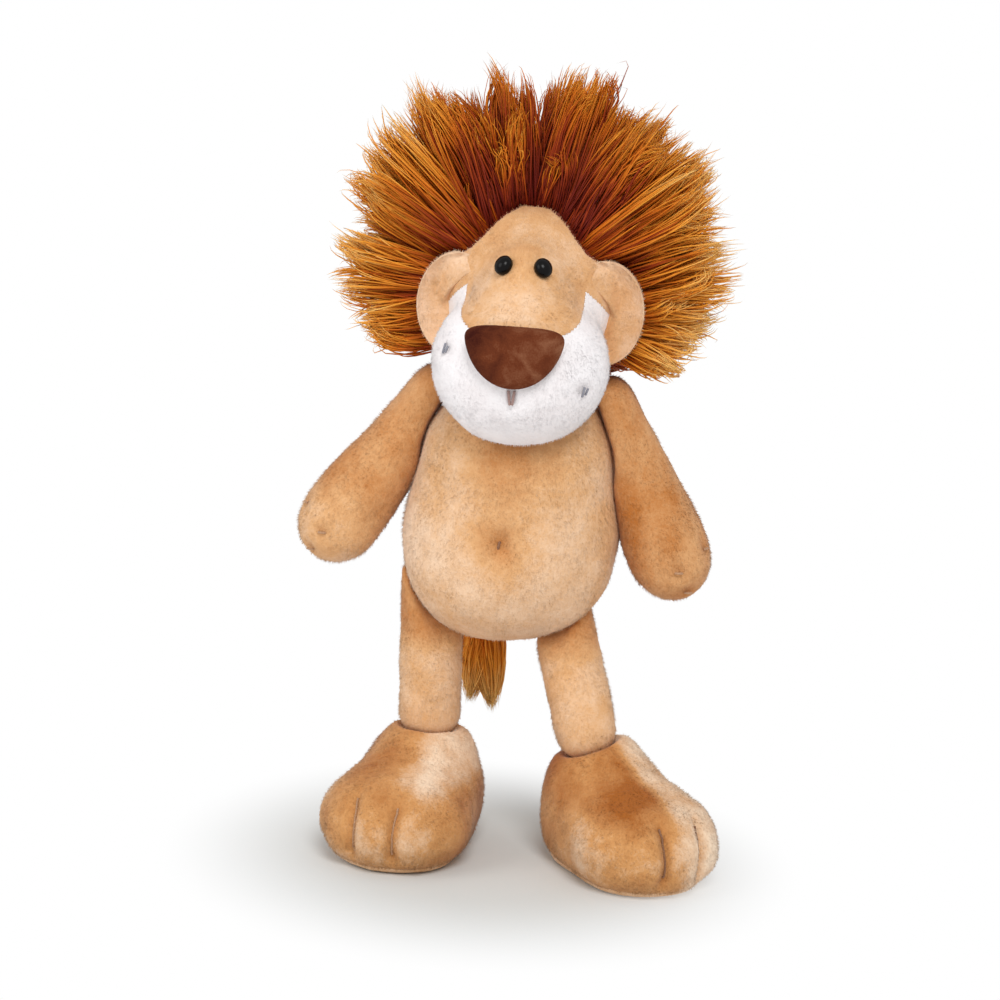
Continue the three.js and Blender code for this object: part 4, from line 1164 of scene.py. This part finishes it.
def fur(name, paths, widths, shades, body, stands_for=()):
    """Strands that follow their paths, each closed at its root and drawn out to a point"""
    count, rings = paths.shape[:2]
    ahead = unit(np.gradient(paths, axis=1))
    aside = unit(np.cross(ahead, unit(np.random.default_rng(5).normal(0, 1, (count, 1, 3)))))
    other = np.cross(ahead, aside)
    share = np.linspace(0, 1, rings)
    thick = widths[:, None, None] / 2 * (1 - share ** 2.6)[None, :, None]
    corners = ring_of_three(paths, aside, other, thick)
    body_points = np.stack(corners, axis=2)[:, :-1].reshape(count, -1, 3)
    points = np.concatenate([body_points, paths[:, -1:]], axis=1)
    tip = points.shape[1] - 1
    order = [(0, 2, 1)]
    for ring in range(rings - 2):
        for corner in range(3):
            a, b = ring * 3 + corner, ring * 3 + (corner + 1) % 3
            order += [(a, b, b + 3), (a, b + 3, a + 3)]
    order += [(tip - 3 + corner, tip - 3 + (corner + 1) % 3, tip) for corner in range(3)]
    heights = np.append(np.repeat(share[:-1], 3), 1)
    return piece(strand_mesh(name, points, order, shades, heights), fur_finish, body, stands_for)


fur_finish = Finish("rust_fur")
fur_map = fur_finish.node("ShaderNodeUVMap", {"uv_map": "OFBake"})
fur_shade = fur_finish.node("ShaderNodeSeparateXYZ", {}, {0: fur_map}, "X")
fur_along = fur_finish.node("ShaderNodeSeparateXYZ", {}, {0: fur_map}, "Y")
fur_ramp = fur_finish.node("ShaderNodeValToRGB", {"stops": [
    (0, linear(98, 18, 3)), (0.24, linear(146, 50, 5)), (0.46, linear(196, 102, 10)),
    (0.7, linear(228, 150, 46)), (1, linear(247, 200, 118)),
]}, {0: (fur_along * 0.72 + (fur_shade - 0.5) * 0.62 + 0.08).limited()})
fur_finish = fur_finish.ends_in(fur_finish.node("ShaderNodeBsdfPrincipled", {}, {
    "Base Color": fur_ramp, "Roughness": 0.6, "Specular IOR Level": 0.2,
}))
scalp = plush_cloth("fur_ground", linear(70, 20, 8), linear(110, 40, 14), linear(140, 62, 24))
scalp_shade = 0.4 + 0.3 * cloudy(head_points, 8, 101)
behind = ~front_of_head & (np.linalg.norm(head_middles - neck, axis=1) > dome_radius + 1)
for side, outward in SIDES.items():
    own_side = behind & ((head_middles[:, 0] - skull[0]) * outward > 0)
    cloth_panel(f"mane_{side}_cloth", head_points, head_faces[own_side], scalp_shade, scalp, "head",
                [f"mane_{side}"])

draw = np.random.default_rng(2026)
lock_count = 1150
hair_count = 23000
hair_rings = 9
scalp_depth = behind_hairline(head_middles)
rooted = np.flatnonzero((scalp_depth > 0.2) & (head_middles[:, 2] > mane_hem - 1.5))
root_weights = face_areas(head_points, head_faces[rooted]) * (1 + 2.2 * np.exp(-scalp_depth[rooted] / 4))


def root_places(count):
    chosen = head_faces[rooted[draw.choice(len(rooted), count, p=root_weights / root_weights.sum())]]
    return head_points[chosen].mean(1) - head_normals[chosen].mean(1) * 0.4, head_normals[chosen].mean(1)


def mane_paths(roots, outward, tips, wave):
    """Paths that leave the scalp outward and bend over to their tips"""
    share = np.linspace(0, 1, hair_rings)[None, :, None]
    straight = roots[:, None] * (1 - share) + tips[:, None] * share
    length = np.linalg.norm(tips - roots, axis=1)[:, None, None]
    bow = share * (1 - share)
    curl = np.sin((share * wave[:, None, :1] * 30 + wave[:, None, 1:2] * 40)) * share * wave[:, None] * 9
    path = straight + bow * length * (0.7 * outward[:, None] + wave[:, None]) + curl
    return path - np.array((0, 0, mane_droop)) * length * share ** 2


lock_roots, lock_outward = root_places(lock_count)
leaving = unit(lock_roots - skull)
near_face = leaving[:, 1] < 0.15
back_aim = np.where(near_face, draw.uniform(-0.24, 0.5, lock_count), leaving[:, 1] * 1.1)
radial = unit(np.column_stack((leaving[:, 0], np.zeros(lock_count), leaving[:, 2])))
across_share = np.sqrt(np.maximum(1 - np.clip(back_aim, -1, 1) ** 2, 0))
lock_aims = unit(radial * across_share[:, None] + np.array((0, 1, 0)) * np.clip(back_aim, -1, 1)[:, None]
                 + draw.normal(0, 0.06, (lock_count, 3)))
fall = np.array((0, 0.5, -1)) - (lock_aims @ (0, 0.5, -1))[:, None] * lock_aims
lock_aims = unit(lock_aims + unit(fall) * (0.42 * smooth_step(leaving[:, 1], -0.05, 0.45))[:, None])
lock_reach = last_inside(mane_centre, lock_aims, in_mane, 80, 18)
outer_lock = draw.random(lock_count) < 0.74
layering = np.where(outer_lock, draw.uniform(0.95, 1.06, lock_count), draw.uniform(0.62, 0.95, lock_count))
crown = hump(np.degrees(np.arctan2(lock_aims[:, 2], lock_aims[:, 0])) - 122, 16)
lock_tips = mane_centre + lock_aims * (np.maximum(lock_reach, 34) * (layering + 0.1 * crown))[:, None]
whole_locks = np.linalg.norm(lock_tips - lock_roots, axis=1) > 17
lock_roots, lock_outward, lock_tips = (
    places[whole_locks] for places in (lock_roots, lock_outward, lock_tips)
)
lock_count = len(lock_roots)
bunch_count = 170
bunch_pull = 0.42
bunch_leaders = draw.choice(lock_count, bunch_count, replace=False)
lock_marks = lock_tips + lock_roots * 0.5
lock_bunch = np.argmin(np.linalg.norm(lock_marks[:, None] - lock_marks[None, bunch_leaders], axis=2), axis=1)
bunch_tips = lock_tips[bunch_leaders]
pull = (bunch_pull + draw.uniform(-0.22, 0.22, bunch_count))[lock_bunch][:, None]
bunch_stray = draw.normal(0, 1.8, (bunch_count, 3))
lock_tips = lock_tips * (1 - pull) + bunch_tips[lock_bunch] * pull + bunch_stray[lock_bunch]
lock_wave = draw.normal(0, 0.14, (bunch_count, 3))[lock_bunch] + draw.normal(0, 0.07, (lock_count, 3))
lock_wave = lock_wave.clip(-0.26, 0.26)
fair_side = smooth_step(lock_tips[:, 0] - skull[0], 18, 50)
fair_side *= smooth_step(skull[2] + 22 - lock_tips[:, 2], 0, 30)
lock_shades = draw.normal(0.5, 0.08, bunch_count)[lock_bunch] + draw.normal(0, 0.09, lock_count)
lock_shades += 0.22 * fair_side
side_lock = smooth_step(np.abs(lock_tips[:, 0] - skull[0]), 26, 52)
lock_shades += 0.24 * side_lock - 0.2 * (1 - side_lock)
lock_paths = mane_paths(lock_roots, lock_outward, lock_tips, lock_wave)

hair_roots, hair_outward = root_places(hair_count)
hair_lock = np.empty(hair_count, int)
for first in range(0, hair_count, 2000):
    some = slice(first, first + 2000)
    apart = np.linalg.norm(hair_roots[some, None] - lock_roots[None], axis=2)
    apart += draw.uniform(0, 1.5, (len(apart), 1))
    closest = np.argpartition(apart, 3, axis=1)[:, :3]
    hair_lock[some] = closest[np.arange(len(closest)), draw.integers(0, 3, len(closest))]
hair_tips = lock_tips[hair_lock] + draw.normal(0, 2.8, (hair_count, 3))
hair_wave = lock_wave[hair_lock] + draw.normal(0, 0.04, (hair_count, 3))
own_paths = mane_paths(hair_roots, hair_outward, hair_tips, hair_wave)
gather = np.linspace(0, 1, hair_rings)[None, :, None] ** 1.5 * draw.uniform(0.3, 0.95, (hair_count, 1, 1))
hair_paths = own_paths * (1 - gather) + lock_paths[hair_lock] * gather
shortened = draw.uniform(0.86, 1.02, (hair_count, 1, 1))
hair_paths = hair_paths[:, :1] + (hair_paths - hair_paths[:, :1]) * shortened
lowest = mane_hem - 2.5 - 1.5 * np.sign(hair_roots[:, :1] - skull[0])
lowest = lowest + draw.uniform(-1.5, 1.5, (hair_count, 1))
hair_paths[:, :, 2] = np.maximum(hair_paths[:, :, 2], lowest)
hair_widths = draw.uniform(0.38, 0.78, hair_count) * 1
hair_shades = lock_shades[hair_lock] + draw.normal(0, 0.12, hair_count)
fur_parts = 6
for part in range(fur_parts):
    chosen = slice(part * hair_count // fur_parts, (part + 1) * hair_count // fur_parts)
    fur(f"mane_fur_{part + 1}", hair_paths[chosen], hair_widths[chosen], hair_shades[chosen], "head")


# Tail: a sewn tube that hangs from the back of the body, where a small collar of the same plush joins it
# on, and ends in two pointed locks of the mane's fur.
tail_root = hinges["tail_lift"]
tail_end = tail_root + (-9, 0, -26)
tail_radius = 5
tail_along = unit(tail_end - tail_root)


def in_tail(points):
    down = np.clip((points - tail_root) @ tail_along, 0, np.linalg.norm(tail_end - tail_root))
    return np.linalg.norm(points - tail_root - down[:, None] * tail_along, axis=1) < tail_radius


tail_size = np.array((tail_radius, tail_radius, 19))
tail_points, tail_faces = soft_form(
    (tail_root + tail_end) / 2, tail_size, in_tail, 5, facing(-tail_along)
)
tail_shade = 0.45 + 0.25 * cloudy(tail_points, 8, 111)
cloth_panel("tail_cover", tail_points, tail_faces, tail_shade, tan_cloth, "tail",
            ["tail_tube"])
short_pile("tail_pile", tail_points, tail_faces, tail_shade, nap_along(0, 0, -1), tan_hairs, "tail",
           "tan_cloth", 112)
collar_points, collar_faces = ball_grid(4)
collar_points = tail_root + collar_points * (5.6, 5.8, 5.6) + (0, -2.6, 0.4)
collar_swell = 0.25 * cloudy(collar_points, 4, 114)
collar_points = collar_points + unit(collar_points - tail_root) * collar_swell[:, None]
collar_shade = 0.36 + 0.2 * cloudy(collar_points, 6, 113)
cloth_panel("tail_collar", collar_points, collar_faces, collar_shade, tan_cloth, "torso", [])
collar_seen = collar_points[collar_faces].mean(1)[:, 1] > tail_root[1] - 5
short_pile("tail_collar_pile", collar_points, collar_faces, collar_shade, nap_along(0, 0, -1), tan_hairs,
           "torso", "tan_cloth", 115, collar_seen)
tuft_count = 1500
tuft_side = draw.integers(0, 2, tuft_count)
tuft_around = draw.uniform(0, math.tau, tuft_count)
tuft_ring = np.column_stack((np.cos(tuft_around), np.sin(tuft_around), np.zeros(tuft_count)))
tuft_roots = tail_end + tuft_ring * draw.uniform(2, 5, (tuft_count, 1))
tuft_roots[:, 2] += draw.uniform(-4, 5, tuft_count)
tuft_tips = tail_end + np.column_stack((
    (tuft_side * 2 - 1) * 3.5, np.zeros(tuft_count), -26 - tuft_side * 2 + draw.uniform(0, 9, tuft_count),
)) + draw.normal(0, 0.8, (tuft_count, 3))
share = np.linspace(0, 1, hair_rings)[None, :, None]
swell = np.sin(share * math.pi) * 3.2 * tuft_ring[:, None] * draw.uniform(0.5, 1, (tuft_count, 1, 1))
tuft_paths = tuft_roots[:, None] * (1 - share) + tuft_tips[:, None] * share + swell
tuft_widths = draw.uniform(0.5, 0.9, tuft_count)
tuft_shades = draw.normal(1.25, 0.24, tuft_count)
fur("tail_fur", tuft_paths, tuft_widths, tuft_shades, "tail", ["tail_tuft"])
